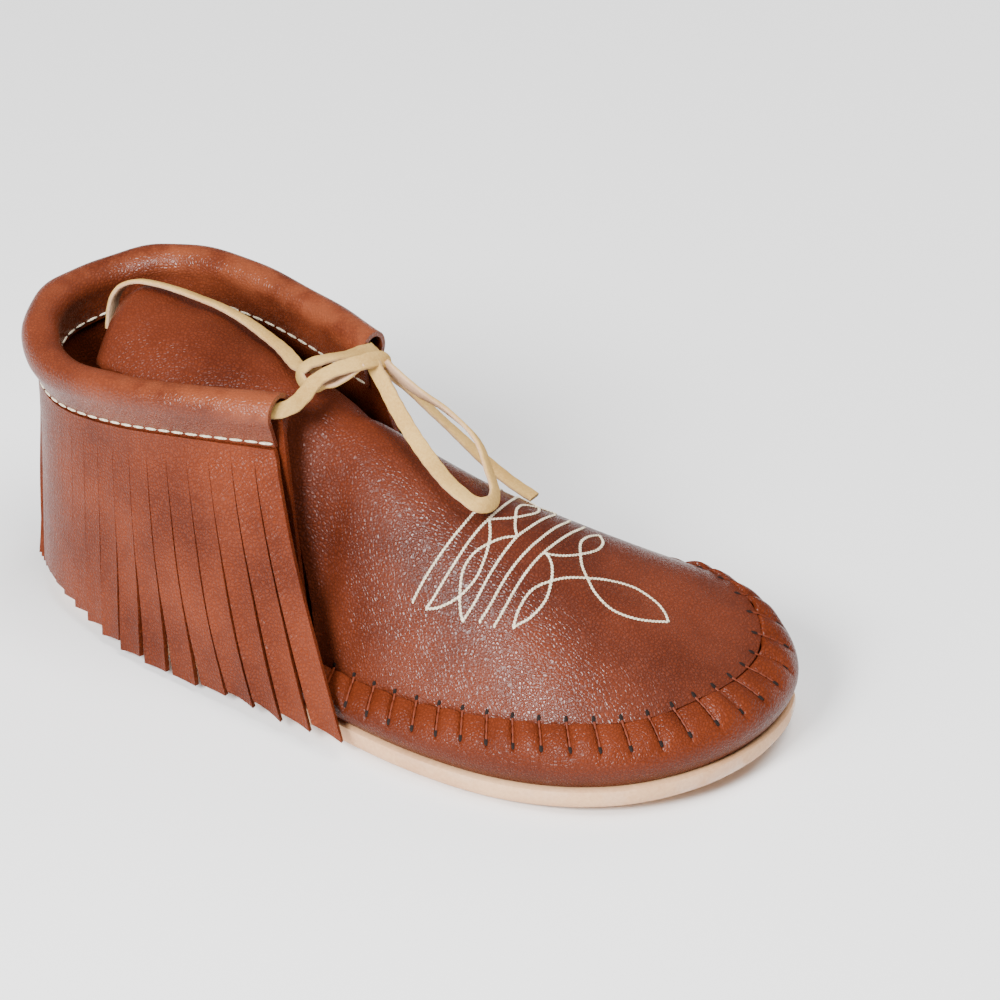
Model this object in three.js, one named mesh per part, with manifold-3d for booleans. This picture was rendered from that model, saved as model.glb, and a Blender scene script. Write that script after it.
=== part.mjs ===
// Fringed leather moccasin for the right foot, in millimetres with +Z up.
// +X points to the toe and +Y to the inner (medial) side of the foot.
// One rule shapes every leather piece: ribs that fan from a spine along the foot to the plan outline.
import * as THREE from "three";
import { mergeVertices } from "three/addons/utils/BufferGeometryUtils.js";
import Module from "manifold-3d";

const wasm = await Module();
wasm.setup();

// Driving dimensions.
const LENGTH = 253;
const LEATHER = 1.8;
const GAP = 0.3;
const LATERAL = -1;
const MEDIAL = 1;

// Sole and insole.
const SOLE_THICKNESS = 7;
const SOLE_INSET = 0.6;
const SOLE_EDGE_ROUND = 1.2;
const ARCH_LIFT = 1.5;
const ARCH_MIDDLE = 104;
const ARCH_HALF_LENGTH = 20;
const TOE_SPRING = 5;
const TOE_SPRING_START = 176;
const INSOLE_THICKNESS = 3;
const INSOLE_INSET = 6.2;

// Spine: where the ribs start, from the middle of the heel to the middle of the toe.
const SPINE_HEEL = 32;
const SPINE_TOE = 204;

// Foot wall: it starts under the belly at the sole and turns in to the apron seam.
const FEATHER_INSET = 3;
const BELLY_SHARE = 0.42;
const SHOULDER_ANGLE = THREE.MathUtils.degToRad(58);
const PUCKERS_A_SIDE = 18;
const PUCKER_DEPTH = 0.9;
const RIBS_A_PUCKER = 2;

// The quarter's front edge leans forward from the collar down to the seam.
const QUARTER_TOP_X = 106;
const QUARTER_FOOT_X = 124;

// Plan outline at the belly, by turn: 0 at the back of the heel, 1 at the tip of the toe.
const OUTLINE = [
  { turn: 0.0, lateral: 0, medial: 0 },
  { turn: 0.1, lateral: 19, medial: 17.5 },
  { turn: 0.2, lateral: 33.5, medial: 28.5 },
  { turn: 0.3, lateral: 41.5, medial: 30 },
  { turn: 0.4, lateral: 46.5, medial: 27.5 },
  { turn: 0.5, lateral: 52.5, medial: 30 },
  { turn: 0.6, lateral: 57.5, medial: 40 },
  { turn: 0.7, lateral: 55, medial: 47 },
  { turn: 0.8, lateral: 43, medial: 45.5 },
  { turn: 0.9, lateral: 21.5, medial: 32 },
  { turn: 1.0, lateral: -5, medial: 5 },
];

// Top line of the vamp and the tongue, from the tongue's end to the middle of the toe.
const RIDGE = [
  { x: 26, y: -4, z: 98.5 },
  { x: 32, y: -4.5, z: 102.8 },
  { x: 50, y: -5.5, z: 101.6 },
  { x: 75, y: -8, z: 97 },
  { x: 100, y: -9.5, z: 91 },
  { x: 125, y: -10, z: 82.5 },
  { x: 150, y: -9.5, z: 72 },
  { x: 180, y: -6.5, z: 60.5 },
  { x: 204, y: -3, z: 50 },
  { x: 224, y: -1, z: 40.5 },
];

// Apron seam: how far in from the outline it runs, and its height.
const SEAM = [
  { x: 0, inset: 1, lateral: 25, medial: 25 },
  { x: 60, inset: 2.5, lateral: 22, medial: 28 },
  { x: 124, inset: 8, lateral: 19, medial: 33 },
  { x: 156, inset: 9, lateral: 19.5, medial: 36 },
  { x: 193, inset: 9.5, lateral: 23.5, medial: 38.5 },
  { x: 222, inset: 10, lateral: 26, medial: 39 },
  { x: 240, inset: 10.5, lateral: 27, medial: 34.5 },
  { x: 250, inset: 11, lateral: 29, medial: 29 },
];

// Collar: the quarter's top edge. The lateral side is cut lower, to clear the ankle bone.
const COLLAR = [
  { x: 0, inset: -1.5, lateral: 88.5, medial: 88.5 },
  { x: 17, inset: -1, lateral: 84, medial: 94 },
  { x: 40, inset: 0.5, lateral: 86, medial: 96 },
  { x: 76, inset: 4.5, lateral: 92.5, medial: 95 },
  { x: 106, inset: 15, lateral: 95, medial: 94.5 },
];

// A column of a table at any place between its rows, as a smooth curve through them.
function smooth(rows, key, column, at) {
  const last = rows.length - 1;
  const place = THREE.MathUtils.clamp(at, rows[0][key], rows[last][key]);
  let i = 0;
  while (i < last - 1 && place > rows[i + 1][key]) i += 1;
  const slope = (a, b) => (rows[b][column] - rows[a][column]) / (rows[b][key] - rows[a][key]);
  const span = rows[i + 1][key] - rows[i][key];
  const s = (place - rows[i][key]) / span;
  const startSlope = slope(Math.max(i - 1, 0), i + 1) * span;
  const endSlope = slope(i, Math.min(i + 2, last)) * span;
  const startValue = rows[i][column];
  const endValue = rows[i + 1][column];
  const ease = s * s * (3 - 2 * s);
  const bends = s * (1 - s) * ((1 - s) * startSlope - s * endSlope);
  return startValue + (endValue - startValue) * ease + bends;
}

// How far the sole's underside lifts off the floor: a shallow arch and the toe spring.
function floorLift(x) {
  const arch = Math.max(0, 1 - ((x - ARCH_MIDDLE) / ARCH_HALF_LENGTH) ** 2) ** 2;
  const spring = Math.max(0, (x - TOE_SPRING_START) / (LENGTH - TOE_SPRING_START)) ** 2;
  return ARCH_LIFT * arch + TOE_SPRING * spring;
}

function turnAt(x) {
  return Math.acos(1 - (2 * x) / LENGTH) / Math.PI;
}

// One rib: its foot on the plan outline, the way in to the spine, and the heights on it.
function ribAt(turn, side) {
  const sideName = side < 0 ? "lateral" : "medial";
  const x = (LENGTH * (1 - Math.cos(Math.PI * turn))) / 2;
  const y = side * smooth(OUTLINE, "turn", sideName, turn);
  const spineX = SPINE_HEEL + ((SPINE_TOE - SPINE_HEEL) * x) / LENGTH;
  const spineY = smooth(RIDGE, "x", "y", spineX);
  const inward = new THREE.Vector2(spineX - x, spineY - y).normalize();
  const feather = SOLE_THICKNESS + floorLift(x);
  const seamZ = smooth(SEAM, "x", sideName, x);
  return {
    x,
    y,
    side,
    inward,
    spineX,
    spineY,
    feather,
    belly: feather + BELLY_SHARE * (seamZ - feather),
    seamZ,
    seamInset: smooth(SEAM, "x", "inset", x),
    collarZ: smooth(COLLAR, "x", sideName, x),
    collarInset: smooth(COLLAR, "x", "inset", x),
  };
}

// The leather's outer face on a rib: how far in from the outline it is at a height.
function insetAt(rib, z) {
  if (z < rib.belly) return FEATHER_INSET * ((rib.belly - z) / (rib.belly - rib.feather)) ** 2;
  if (z <= rib.seamZ) {
    const sine = (Math.sin(SHOULDER_ANGLE) * (z - rib.belly)) / (rib.seamZ - rib.belly);
    return (rib.seamInset * (1 - Math.sqrt(1 - sine * sine))) / (1 - Math.cos(SHOULDER_ANGLE));
  }
  const share = (z - rib.seamZ) / (rib.collarZ - rib.seamZ);
  return rib.seamInset + (rib.collarInset - rib.seamInset) * share;
}

function onRib(rib, inset, z) {
  return new THREE.Vector3(rib.x + rib.inward.x * inset, rib.y + rib.inward.y * inset, z);
}

// A closed mesh from rows of points that are joined row to row, and in each row end to start.
function loft(rows, { ring = false, startCap = [], endCap = [] } = {}) {
  const positions = rows.flat().flatMap((p) => [p.x, p.y, p.z]);
  const count = rows[0].length;
  const index = [];
  const bands = ring ? rows.length : rows.length - 1;
  for (let i = 0; i < bands; i += 1) {
    const here = i * count;
    const next = ((i + 1) % rows.length) * count;
    for (let j = 0; j < count; j += 1) {
      const k = (j + 1) % count;
      index.push(here + j, next + j, next + k, here + j, next + k, here + k);
    }
  }
  const lastRow = (rows.length - 1) * count;
  for (const [a, b, c] of startCap) index.push(a, b, c);
  for (const [a, b, c] of endCap) index.push(lastRow + a, lastRow + c, lastRow + b);
  return closedGeometry(positions, index);
}

function closedGeometry(positions, index) {
  const geometry = new THREE.BufferGeometry();
  geometry.setAttribute("position", new THREE.Float32BufferAttribute(positions, 3));
  geometry.setIndex(index);
  const merged = mergeVertices(geometry, 1e-3);
  const kept = [];
  for (let i = 0; i < merged.index.count; i += 3) {
    const [a, b, c] = merged.index.array.slice(i, i + 3);
    if (a !== b && b !== c && a !== c) kept.push(a, b, c);
  }
  merged.setIndex(kept);
  return facingOut(merged);
}

function facingOut(geometry) {
  const p = geometry.attributes.position;
  const [a, b, c] = [new THREE.Vector3(), new THREE.Vector3(), new THREE.Vector3()];
  let volume = 0;
  for (let i = 0; i < geometry.index.count; i += 3) {
    const corner = (vector, step) => vector.fromBufferAttribute(p, geometry.index.getX(i + step));
    volume += corner(a, 0).dot(corner(b, 1).cross(corner(c, 2)));
  }
  if (volume < 0) {
    const array = geometry.index.array;
    for (let i = 0; i < array.length; i += 3) [array[i + 1], array[i + 2]] = [array[i + 2], array[i + 1]];
  }
  geometry.computeVertexNormals();
  return geometry;
}

// Turns along one side, an even step of seam length apart, from the quarter's foot to the toe.
function seamTurns(side, steps) {
  const start = turnAt(QUARTER_FOOT_X);
  const fine = 400;
  const lengths = [0];
  const at = (i) => start + ((1 - start) * i) / fine;
  const point = (turn) => {
    const rib = ribAt(turn, side);
    return onRib(rib, rib.seamInset, rib.seamZ);
  };
  for (let i = 1; i <= fine; i += 1) {
    const step = point(at(i)).distanceTo(point(at(i - 1)));
    lengths.push(lengths[i - 1] + step);
  }
  return Array.from({ length: steps + 1 }, (_, k) => {
    const wanted = (lengths[fine] * k) / steps;
    const i = Math.min(fine, Math.max(1, lengths.findIndex((l) => l >= wanted)));
    return at(i - 1 + (wanted - lengths[i - 1]) / (lengths[i] - lengths[i - 1]));
  });
}

// Upper: one hollow wall. The foot wall runs all round, and the quarter rises from it behind.
const QUARTER_RIBS = 20;
const FRONT_EDGE_RIBS = 4;
const WALL_LEVELS = 8;
const PUCKER_REACH = 13;

function ringOfRibs() {
  const ofSide = (side) => {
    const topTurn = turnAt(QUARTER_TOP_X);
    const footTurn = turnAt(QUARTER_FOOT_X);
    const turns = [];
    for (let i = 0; i < QUARTER_RIBS; i += 1) turns.push((topTurn * i) / QUARTER_RIBS);
    for (let i = 0; i < FRONT_EDGE_RIBS; i += 1) {
      turns.push(topTurn + ((footTurn - topTurn) * i) / FRONT_EDGE_RIBS);
    }
    const behind = turns.map((turn) => ({ ...ribAt(turn, side), pucker: 0 }));
    const front = seamTurns(side, PUCKERS_A_SIDE * RIBS_A_PUCKER).map((turn, k) => ({
      ...ribAt(turn, side),
      pucker: k % RIBS_A_PUCKER === 0 ? 1 : 0,
    }));
    return [...behind, ...front];
  };
  const lateral = ofSide(LATERAL);
  const medial = ofSide(MEDIAL).slice(1, -1).reverse();
  return [...lateral, ...medial];
}

function topOf(rib) {
  const share = (rib.x - QUARTER_TOP_X) / (QUARTER_FOOT_X - QUARTER_TOP_X);
  return THREE.MathUtils.lerp(rib.collarZ, rib.seamZ, THREE.MathUtils.clamp(share, 0, 1));
}

// The wall's section on a rib, as a loop: up the outer face and down the inner one.
function wallSection(rib) {
  const bottom = rib.feather + 1.5 * GAP;
  const top = topOf(rib);
  const outer = [];
  const inner = [];
  for (let i = 0; i < WALL_LEVELS; i += 1) {
    const z = bottom + ((top - bottom) * i) / (WALL_LEVELS - 1);
    const slope = (insetAt(rib, z + 0.2) - insetAt(rib, z - 0.2)) / 0.4;
    const rise = 1 / Math.hypot(1, slope);
    const near = Math.max(0, 1 - (top - z) / PUCKER_REACH);
    const pinch = PUCKER_DEPTH * rib.pucker * near;
    outer.push(onRib(rib, insetAt(rib, z) + pinch * rise, z - pinch * slope * rise));
    inner.push(onRib(rib, insetAt(rib, z) + LEATHER * rise, Math.max(z - LEATHER * slope * rise, bottom)));
  }
  return [...outer, ...inner.reverse()];
}

function upperGeometry() {
  return loft(ringOfRibs().map(wallSection), { ring: true });
}

// Outsole: the outline at a small inset, flat under heel and forefoot.
const SOLE_STATIONS = 40;

function planRing(inset, zOf) {
  const ring = [];
  for (const side of [LATERAL, MEDIAL])
    for (let i = 0; i < SOLE_STATIONS; i += 1) {
      const rib = ribAt(side < 0 ? i / SOLE_STATIONS : 1 - i / SOLE_STATIONS, side);
      ring.push(onRib(rib, inset, zOf(rib.x)));
    }
  return ring;
}

// Triangles across a plan ring, each between a lateral point and its medial partner.
function acrossRing() {
  const faces = [];
  const total = 2 * SOLE_STATIONS;
  for (let i = 0; i < SOLE_STATIONS; i += 1) {
    const partner = (total - i) % total;
    const nextPartner = total - i - 1;
    if (i > 0) faces.push([i, i + 1, partner]);
    if (i + 1 < SOLE_STATIONS) faces.push([i + 1, nextPartner, partner]);
  }
  return faces;
}

function slabGeometry(levels) {
  const rows = levels.map(({ inset, z }) => planRing(inset, (x) => floorLift(x) + z));
  const faces = acrossRing();
  return loft(rows, { startCap: faces, endCap: faces });
}

function outsoleGeometry() {
  return slabGeometry([
    { inset: SOLE_INSET + SOLE_EDGE_ROUND, z: 0 },
    { inset: SOLE_INSET, z: SOLE_EDGE_ROUND },
    { inset: SOLE_INSET, z: SOLE_THICKNESS - SOLE_EDGE_ROUND },
    { inset: SOLE_INSET + SOLE_EDGE_ROUND, z: SOLE_THICKNESS },
  ]);
}

function insoleGeometry() {
  return slabGeometry([
    { inset: INSOLE_INSET, z: SOLE_THICKNESS + GAP },
    { inset: INSOLE_INSET, z: SOLE_THICKNESS + GAP + INSOLE_THICKNESS },
  ]);
}

// Apron and tongue: one sheet, arched over the spine, from the toe seam to the tongue's end.
const APRON_ROWS = 18;
const APRON_COLUMNS = 12;
const APRON_DEPTH = 2.3;
const APRON_LOWER = 1.0;
const APRON_EDGE_GAP = 1.9;
const TUCK_START_X = 134;
const TUCK_INSET = 4.5;

// The tongue behind the quarter: half its width and how far its edges hang below its middle.
const TONGUE = [
  { x: 26, half: 15, drop: 14 },
  { x: 28, half: 19, drop: 15 },
  { x: 35, half: 24, drop: 15 },
  { x: 68, half: 25, drop: 15 },
  { x: 88, half: 22, drop: 17 },
  { x: 100, half: 21, drop: 21 },
];
const TONGUE_ROWS = [100, 88, 72, 54, 38, 32, 28, 26];

function apronEdge(rib) {
  const tuck = THREE.MathUtils.smoothstep(TUCK_START_X - rib.x, 0, TUCK_START_X - QUARTER_FOOT_X);
  const inset = rib.seamInset + APRON_EDGE_GAP + TUCK_INSET * tuck;
  return onRib(rib, inset, rib.seamZ - APRON_LOWER);
}

// Points from an edge up the arch to the spine, the spine's own point last.
// The arch arrives at the spine with the spine's own fall toward the toe, so that no ridge shows.
function archHalf(edge, ridge) {
  const half = APRON_COLUMNS / 2;
  const fall = (ridgeAt(ridge.x - 2).z - ridgeAt(ridge.x + 2).z) / 4;
  const lead = THREE.MathUtils.clamp((fall * (edge.x - ridge.x)) / (ridge.z - edge.z), 0, 0.85);
  return Array.from({ length: half + 1 }, (_, j) => {
    const share = j / half;
    const point = edge.clone().lerp(ridge, share);
    const left = 1 - share;
    point.z = THREE.MathUtils.lerp(edge.z, ridge.z, 1 - left * (lead + (1 - lead) * left));
    return point;
  });
}

function apronRow(lateralEdge, medialEdge, ridge) {
  const lateral = archHalf(lateralEdge, ridge);
  const medial = archHalf(medialEdge, ridge).reverse().slice(1);
  const top = [...lateral, ...medial];
  const under = top.map((p) => p.clone().setZ(p.z - APRON_DEPTH)).reverse();
  return [...top, ...under];
}

function ridgeAt(x) {
  return new THREE.Vector3(x, smooth(RIDGE, "x", "y", x), smooth(RIDGE, "x", "z", x) - APRON_LOWER);
}

function apronGeometry() {
  const rows = [];
  const footTurn = turnAt(QUARTER_FOOT_X);
  for (let i = 0; i <= APRON_ROWS; i += 1) {
    const turn = 1 + ((footTurn - 1) * i) / APRON_ROWS;
    const [lateral, medial] = [ribAt(turn, LATERAL), ribAt(turn, MEDIAL)];
    rows.push(apronRow(apronEdge(lateral), apronEdge(medial), ridgeAt(lateral.spineX)));
  }
  for (const x of TONGUE_ROWS) {
    const ridge = ridgeAt(x);
    const half = smooth(TONGUE, "x", "half", x);
    const drop = smooth(TONGUE, "x", "drop", x);
    const edge = (side) => new THREE.Vector3(x, ridge.y + side * half, ridge.z - drop);
    rows.push(apronRow(edge(LATERAL), edge(MEDIAL), ridge));
  }
  const columns = 2 * (APRON_COLUMNS + 1);
  const endCap = [];
  for (let j = 0; j < APRON_COLUMNS; j += 1) {
    const under = columns - 1 - j;
    endCap.push([j, j + 1, under], [j + 1, under - 1, under]);
  }
  return loft(rows, { endCap });
}

// Cuff: the collar leather rolled over the quarter's top edge, hollow where the lace runs.
const CUFF_LEATHER = 1.6;
const ROLL_RADIUS = 6;
const ROLL_LEAN = 2;
const ROLL_STEPS = 6;
const CUFF_OUTER_DROP = 12;
const CUFF_INNER_DROP = 12;
const LEG_STANDOFF = LEATHER / 2 + 1.5 * GAP;

// The cuff's section as a loop of (out, up) about the quarter's top edge.
function cuffSection() {
  const face = (radius, leg) => {
    const points = [{ out: leg, up: -CUFF_OUTER_DROP }];
    for (let i = 0; i <= ROLL_STEPS; i += 1) {
      const angle = -0.35 + ((Math.PI + 0.7) * i) / ROLL_STEPS;
      points.push({ out: ROLL_LEAN + radius * Math.cos(angle), up: radius * Math.sin(angle) - 1 });
    }
    points.push({ out: -leg, up: -CUFF_INNER_DROP });
    return points;
  };
  const outer = face(ROLL_RADIUS, LEG_STANDOFF + CUFF_LEATHER);
  const inner = face(ROLL_RADIUS - CUFF_LEATHER, LEG_STANDOFF).reverse();
  return [...outer, ...inner];
}

function collarRibs(stations, frontX) {
  const front = turnAt(frontX);
  const ribs = [];
  for (let i = -stations; i <= stations; i += 1) {
    ribs.push(ribAt((front * Math.abs(i)) / stations, i < 0 ? LATERAL : MEDIAL));
  }
  return ribs;
}

// The wall's middle at the collar, and how it leans there.
function cuffRow(rib, section) {
  const slope = (rib.collarInset - rib.seamInset) / (rib.collarZ - rib.seamZ);
  const up = new THREE.Vector3(rib.inward.x * slope, rib.inward.y * slope, 1).normalize();
  const out = new THREE.Vector3(-rib.inward.x, -rib.inward.y, slope).normalize();
  const base = onRib(rib, rib.collarInset + LEATHER / 2, rib.collarZ);
  return section.map((p) => base.clone().addScaledVector(out, p.out).addScaledVector(up, p.up));
}

function cuffGeometry() {
  const section = cuffSection();
  const outline = section.map((p) => new THREE.Vector2(p.out, p.up));
  const faces = THREE.ShapeUtils.triangulateShape(outline, []);
  const rows = collarRibs(QUARTER_RIBS, QUARTER_TOP_X).map((rib) => cuffRow(rib, section));
  return loft(rows, { startCap: faces, endCap: faces });
}

// Fringe: a skirt below the cuff's stitch line, slit into strips that hang almost to the floor.
const STRIPS = 44;
const FRINGE_LEATHER = 1.6;
const FRINGE_ROWS = 6;
const SLIT_START = 1;
const FRINGE_FOOT_X = 145;
const FRINGE_FOOT_OUT = 4.4;
const FRINGE_HEEL_OUT = 1.5;
const FRINGE_FOOT_Z = 5;
const FRINGE_HEEL_Z = 7;
const SLIT_WIDTH = 0.9;
const STRIP_SWING = 2.2;
const STRIP_LIFT = 2.4;

// A repeatable value from -1 to 1 for a strip, so that no two hang alike.
function strayOf(strip, seed) {
  return Math.sin(strip * 12.9898 + seed * 78.233);
}

// A point of the skirt: share 0 to 1 from the front lateral edge round the heel, fall 0 to 1 down.
function skirtPoint(share, fall, lift) {
  const signed = 2 * share - 1;
  const side = signed < 0 ? LATERAL : MEDIAL;
  const topTurn = turnAt(QUARTER_TOP_X) * Math.abs(signed);
  const footTurn = topTurn + (turnAt(FRINGE_FOOT_X) - turnAt(QUARTER_TOP_X)) * Math.abs(signed) ** 3;
  const rib = ribAt(THREE.MathUtils.lerp(topTurn, footTurn, fall), side);
  const topRib = ribAt(topTurn, side);
  const topZ = topRib.collarZ - CUFF_OUTER_DROP - 1.0;
  const footZ = THREE.MathUtils.lerp(FRINGE_HEEL_Z, FRINGE_FOOT_Z, Math.abs(signed)) + floorLift(rib.x);
  const z = THREE.MathUtils.lerp(topZ, footZ, fall);
  const clear = LEG_STANDOFF + lift;
  const footOut = THREE.MathUtils.lerp(FRINGE_HEEL_OUT, FRINGE_FOOT_OUT, Math.abs(signed)) + lift;
  const hung = THREE.MathUtils.lerp(insetAt(topRib, topZ) - clear + LEATHER / 2, -footOut, fall ** 0.8);
  const inset = Math.min(hung, insetAt(rib, Math.max(z, rib.belly)) - clear);
  return { rib, inset, z };
}

function fringeGeometry() {
  const positions = [];
  const index = [];
  const fallAt = (row) => (row <= SLIT_START ? 0.12 * row : 0.12 + (0.88 * (row - 1)) / (FRINGE_ROWS - 1));
  const pair = (strip, edge, row) => {
    const fall = fallAt(row);
    const free = Math.max(0, fall - 0.12) / 0.88;
    const edgeSign = edge === 0 ? 1 : -1;
    const slit = row < SLIT_START ? 0 : SLIT_WIDTH / 2 + 0.25 * free;
    const shift = edgeSign * slit + STRIP_SWING * strayOf(strip, 1) * free * free * 0.3;
    const perMillimetre = 1 / 300;
    const share = (strip + edge) / STRIPS + shift * perMillimetre;
    const lift = STRIP_LIFT * (0.5 + 0.5 * strayOf(strip, 2)) * free;
    const place = skirtPoint(THREE.MathUtils.clamp(share, 0, 1), fall, lift);
    const lengthened = place.z + 3 * strayOf(strip, 3) * free;
    return [
      onRib(place.rib, place.inset - FRINGE_LEATHER, lengthened),
      onRib(place.rib, place.inset, lengthened),
    ];
  };
  const add = (point) => positions.push(point.x, point.y, point.z) / 3 - 1;
  const quad = (a, b, c, d) => index.push(a, b, c, a, c, d);
  const corners = [];
  for (let strip = 0; strip < STRIPS; strip += 1) {
    const edgeRows = (edge) =>
      Array.from({ length: FRINGE_ROWS + 1 }, (_, row) => pair(strip, edge, row).map(add));
    corners.push([edgeRows(0), edgeRows(1)]);
  }
  const gapRow = SLIT_START;
  for (let strip = 0; strip < STRIPS; strip += 1) {
    const [left, right] = corners[strip];
    for (let row = 0; row < FRINGE_ROWS; row += 1) {
      const [a, b, c, d] = [left[row], right[row], right[row + 1], left[row + 1]];
      quad(a[0], b[0], c[0], d[0]);
      quad(a[1], d[1], c[1], b[1]);
      if (row >= gapRow || strip === 0) quad(a[0], d[0], d[1], a[1]);
      if (row >= gapRow || strip === STRIPS - 1) quad(b[0], b[1], c[1], c[0]);
      if (row === 0) quad(a[0], a[1], b[1], b[0]);
      if (row === FRINGE_ROWS - 1) quad(d[0], c[0], c[1], d[1]);
    }
    if (strip + 1 < STRIPS) {
      const next = corners[strip + 1][0];
      const [a, c, d] = [right[0], next[gapRow], right[gapRow]];
      index.push(a[0], c[0], d[0], a[1], d[1], c[1]);
      quad(d[0], c[0], c[1], d[1]);
    }
  }
  return closedGeometry(positions, index);
}

// Lace: flat leather, drawn out of the cuff's two mouths and tied over the tongue.
const LACE_WIDTH = 4.4;
const LACE_THICKNESS = 1.4;
const LACE_STEPS = 22;
const UPWARD = new THREE.Vector3(0, 0, 1);
const FORWARD = new THREE.Vector3(1, 0, 0.4);
const BACKWARD = new THREE.Vector3(-1, 0, 0.2);
const DOWNWARD = new THREE.Vector3(0, 0, -1);
const RAISED = new THREE.Vector3(0, -0.5, 1);
const SIDEWARD = new THREE.Vector3(-0.5, -1, 0);
const LATERALWARD = new THREE.Vector3(0, -1, 0.3);
const MEDIALWARD = new THREE.Vector3(0, 1, 0.3);

// Each route names the ways that the lace's flat side faces, at even steps from its start to its end.
const LACE_FROM_LATERAL = {
  faces: [FORWARD, RAISED, FORWARD],
  points: [
    { x: 107.2, y: -32, z: 95.4 },
    { x: 107.6, y: -26.5, z: 96.8 },
    { x: 108.2, y: -20.5, z: 99.4 },
    { x: 111.6, y: -14.5, z: 101.4 },
    { x: 115.8, y: -8, z: 102 },
    { x: 117.6, y: -1.4, z: 101 },
    { x: 118.2, y: 1.8, z: 98.8 },
    { x: 117, y: 1.4, z: 96.6 },
  ],
};
const LACE_FROM_MEDIAL = {
  faces: [FORWARD, UPWARD, SIDEWARD, DOWNWARD],
  points: [
    { x: 107.2, y: 13, z: 95 },
    { x: 107, y: 6.6, z: 97.2 },
    { x: 107, y: -2.6, z: 99.6 },
    { x: 105, y: -9.6, z: 101 },
    { x: 102, y: -16, z: 100.6 },
    { x: 101.4, y: -19, z: 98.4 },
    { x: 104.6, y: -20, z: 96.2 },
    { x: 108.4, y: -17.6, z: 95.8 },
    { x: 112.4, y: -11.6, z: 98 },
    { x: 115.6, y: -7, z: 101.6 },
  ],
};
const LACE_LOOP = {
  faces: [LATERALWARD, FORWARD, MEDIALWARD],
  points: [
    { x: 118.4, y: -3.2, z: 97.2 },
    { x: 121.4, y: -4.4, z: 95.6 },
    { x: 128.2, y: -7.6, z: 90.6 },
    { x: 137.8, y: -10.6, z: 83 },
    { x: 151, y: -15, z: 76.2 },
    { x: 158.5, y: -16, z: 73.2 },
    { x: 162.7, y: -15.5, z: 71.6 },
    { x: 164.5, y: -11.1, z: 70.8 },
    { x: 162.6, y: -6.1, z: 71.6 },
    { x: 157.7, y: -1.3, z: 74 },
    { x: 148.7, y: 4.8, z: 80.4 },
    { x: 137.9, y: 4.8, z: 87 },
    { x: 129.6, y: 1.5, z: 92.4 },
    { x: 120.6, y: 1.8, z: 97.2 },
  ],
};
const LACE_END_FRONT = {
  faces: [UPWARD, UPWARD],
  points: [
    { x: 120.1, y: 3.6, z: 93.2 },
    { x: 123.7, y: 6, z: 89.4 },
    { x: 130, y: 9.6, z: 82 },
    { x: 137, y: 13.4, z: 74 },
    { x: 145, y: 15.6, z: 67 },
    { x: 153.7, y: 16.2, z: 62.3 },
    { x: 162.4, y: 16.2, z: 59.4 },
  ],
};
const LACE_END_BACK = {
  faces: [UPWARD, BACKWARD],
  points: [
    { x: 94.5, y: -10, z: 95.4 },
    { x: 84.5, y: -4, z: 95.8 },
    { x: 76.9, y: -1.4, z: 96.8 },
    { x: 67.5, y: 0.6, z: 98.6 },
    { x: 57.8, y: 0.8, z: 100.6 },
    { x: 50, y: -0.6, z: 102.2 },
    { x: 43.5, y: -1.6, z: 103.2 },
    { x: 37, y: -2.8, z: 103.8 },
    { x: 30, y: -4, z: 103.4 },
    { x: 25, y: -5, z: 100.8 },
    { x: 22.4, y: -5.6, z: 96.8 },
    { x: 21.4, y: -6, z: 92.4 },
    { x: 21, y: -6.4, z: 86.4 },
  ],
};

function laceGeometry({ points, faces }) {
  const places = points.map((p) => new THREE.Vector3(p.x, p.y, p.z));
  const curve = new THREE.CatmullRomCurve3(places, false, "centripetal");
  const rows = [];
  for (let i = 0; i <= LACE_STEPS; i += 1) {
    const share = i / LACE_STEPS;
    const centre = curve.getPointAt(share);
    const along = curve.getTangentAt(share);
    const turn = share * (faces.length - 1);
    const first = Math.min(Math.floor(turn), faces.length - 2);
    const face = faces[first].clone().lerp(faces[first + 1], turn - first);
    const across = along.clone().cross(face).normalize();
    const flat = across.clone().cross(along).normalize();
    across.multiplyScalar(LACE_WIDTH / 2);
    flat.multiplyScalar(LACE_THICKNESS / 2);
    const corner = (w, t) => centre.clone().addScaledVector(across, w).addScaledVector(flat, t);
    rows.push([corner(-1, -1), corner(1, -1), corner(1, 1), corner(-1, 1)]);
  }
  const faceTriangles = [[0, 1, 2], [0, 2, 3]];
  return loft(rows, { startCap: faceTriangles, endCap: faceTriangles });
}

// Two lengths of lace fused where they cross, as a knot is.
function fused(first, second) {
  const solid = (geometry) =>
    new wasm.Manifold(
      new wasm.Mesh({
        numProp: 3,
        vertProperties: new Float32Array(geometry.attributes.position.array),
        triVerts: new Uint32Array(geometry.index.array),
      }),
    );
  const mesh = solid(first).add(solid(second)).getMesh();
  return closedGeometry(Array.from(mesh.vertProperties), Array.from(mesh.triVerts));
}

const shoe = new THREE.Group();
const finishes = {
  leather: new THREE.MeshStandardMaterial({ color: 0x8a3d20, roughness: 0.5, metalness: 0 }),
  crepe: new THREE.MeshStandardMaterial({ color: 0xd2a679, roughness: 0.6, metalness: 0 }),
  lining: new THREE.MeshStandardMaterial({ color: 0x6b3a22, roughness: 0.8, metalness: 0 }),
  lace: new THREE.MeshStandardMaterial({ color: 0xd9bd86, roughness: 0.8, metalness: 0 }),
};

function addPiece(name, geometry, finish) {
  const mesh = new THREE.Mesh(geometry, finishes[finish]);
  mesh.name = name;
  shoe.add(mesh);
  return mesh;
}

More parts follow.
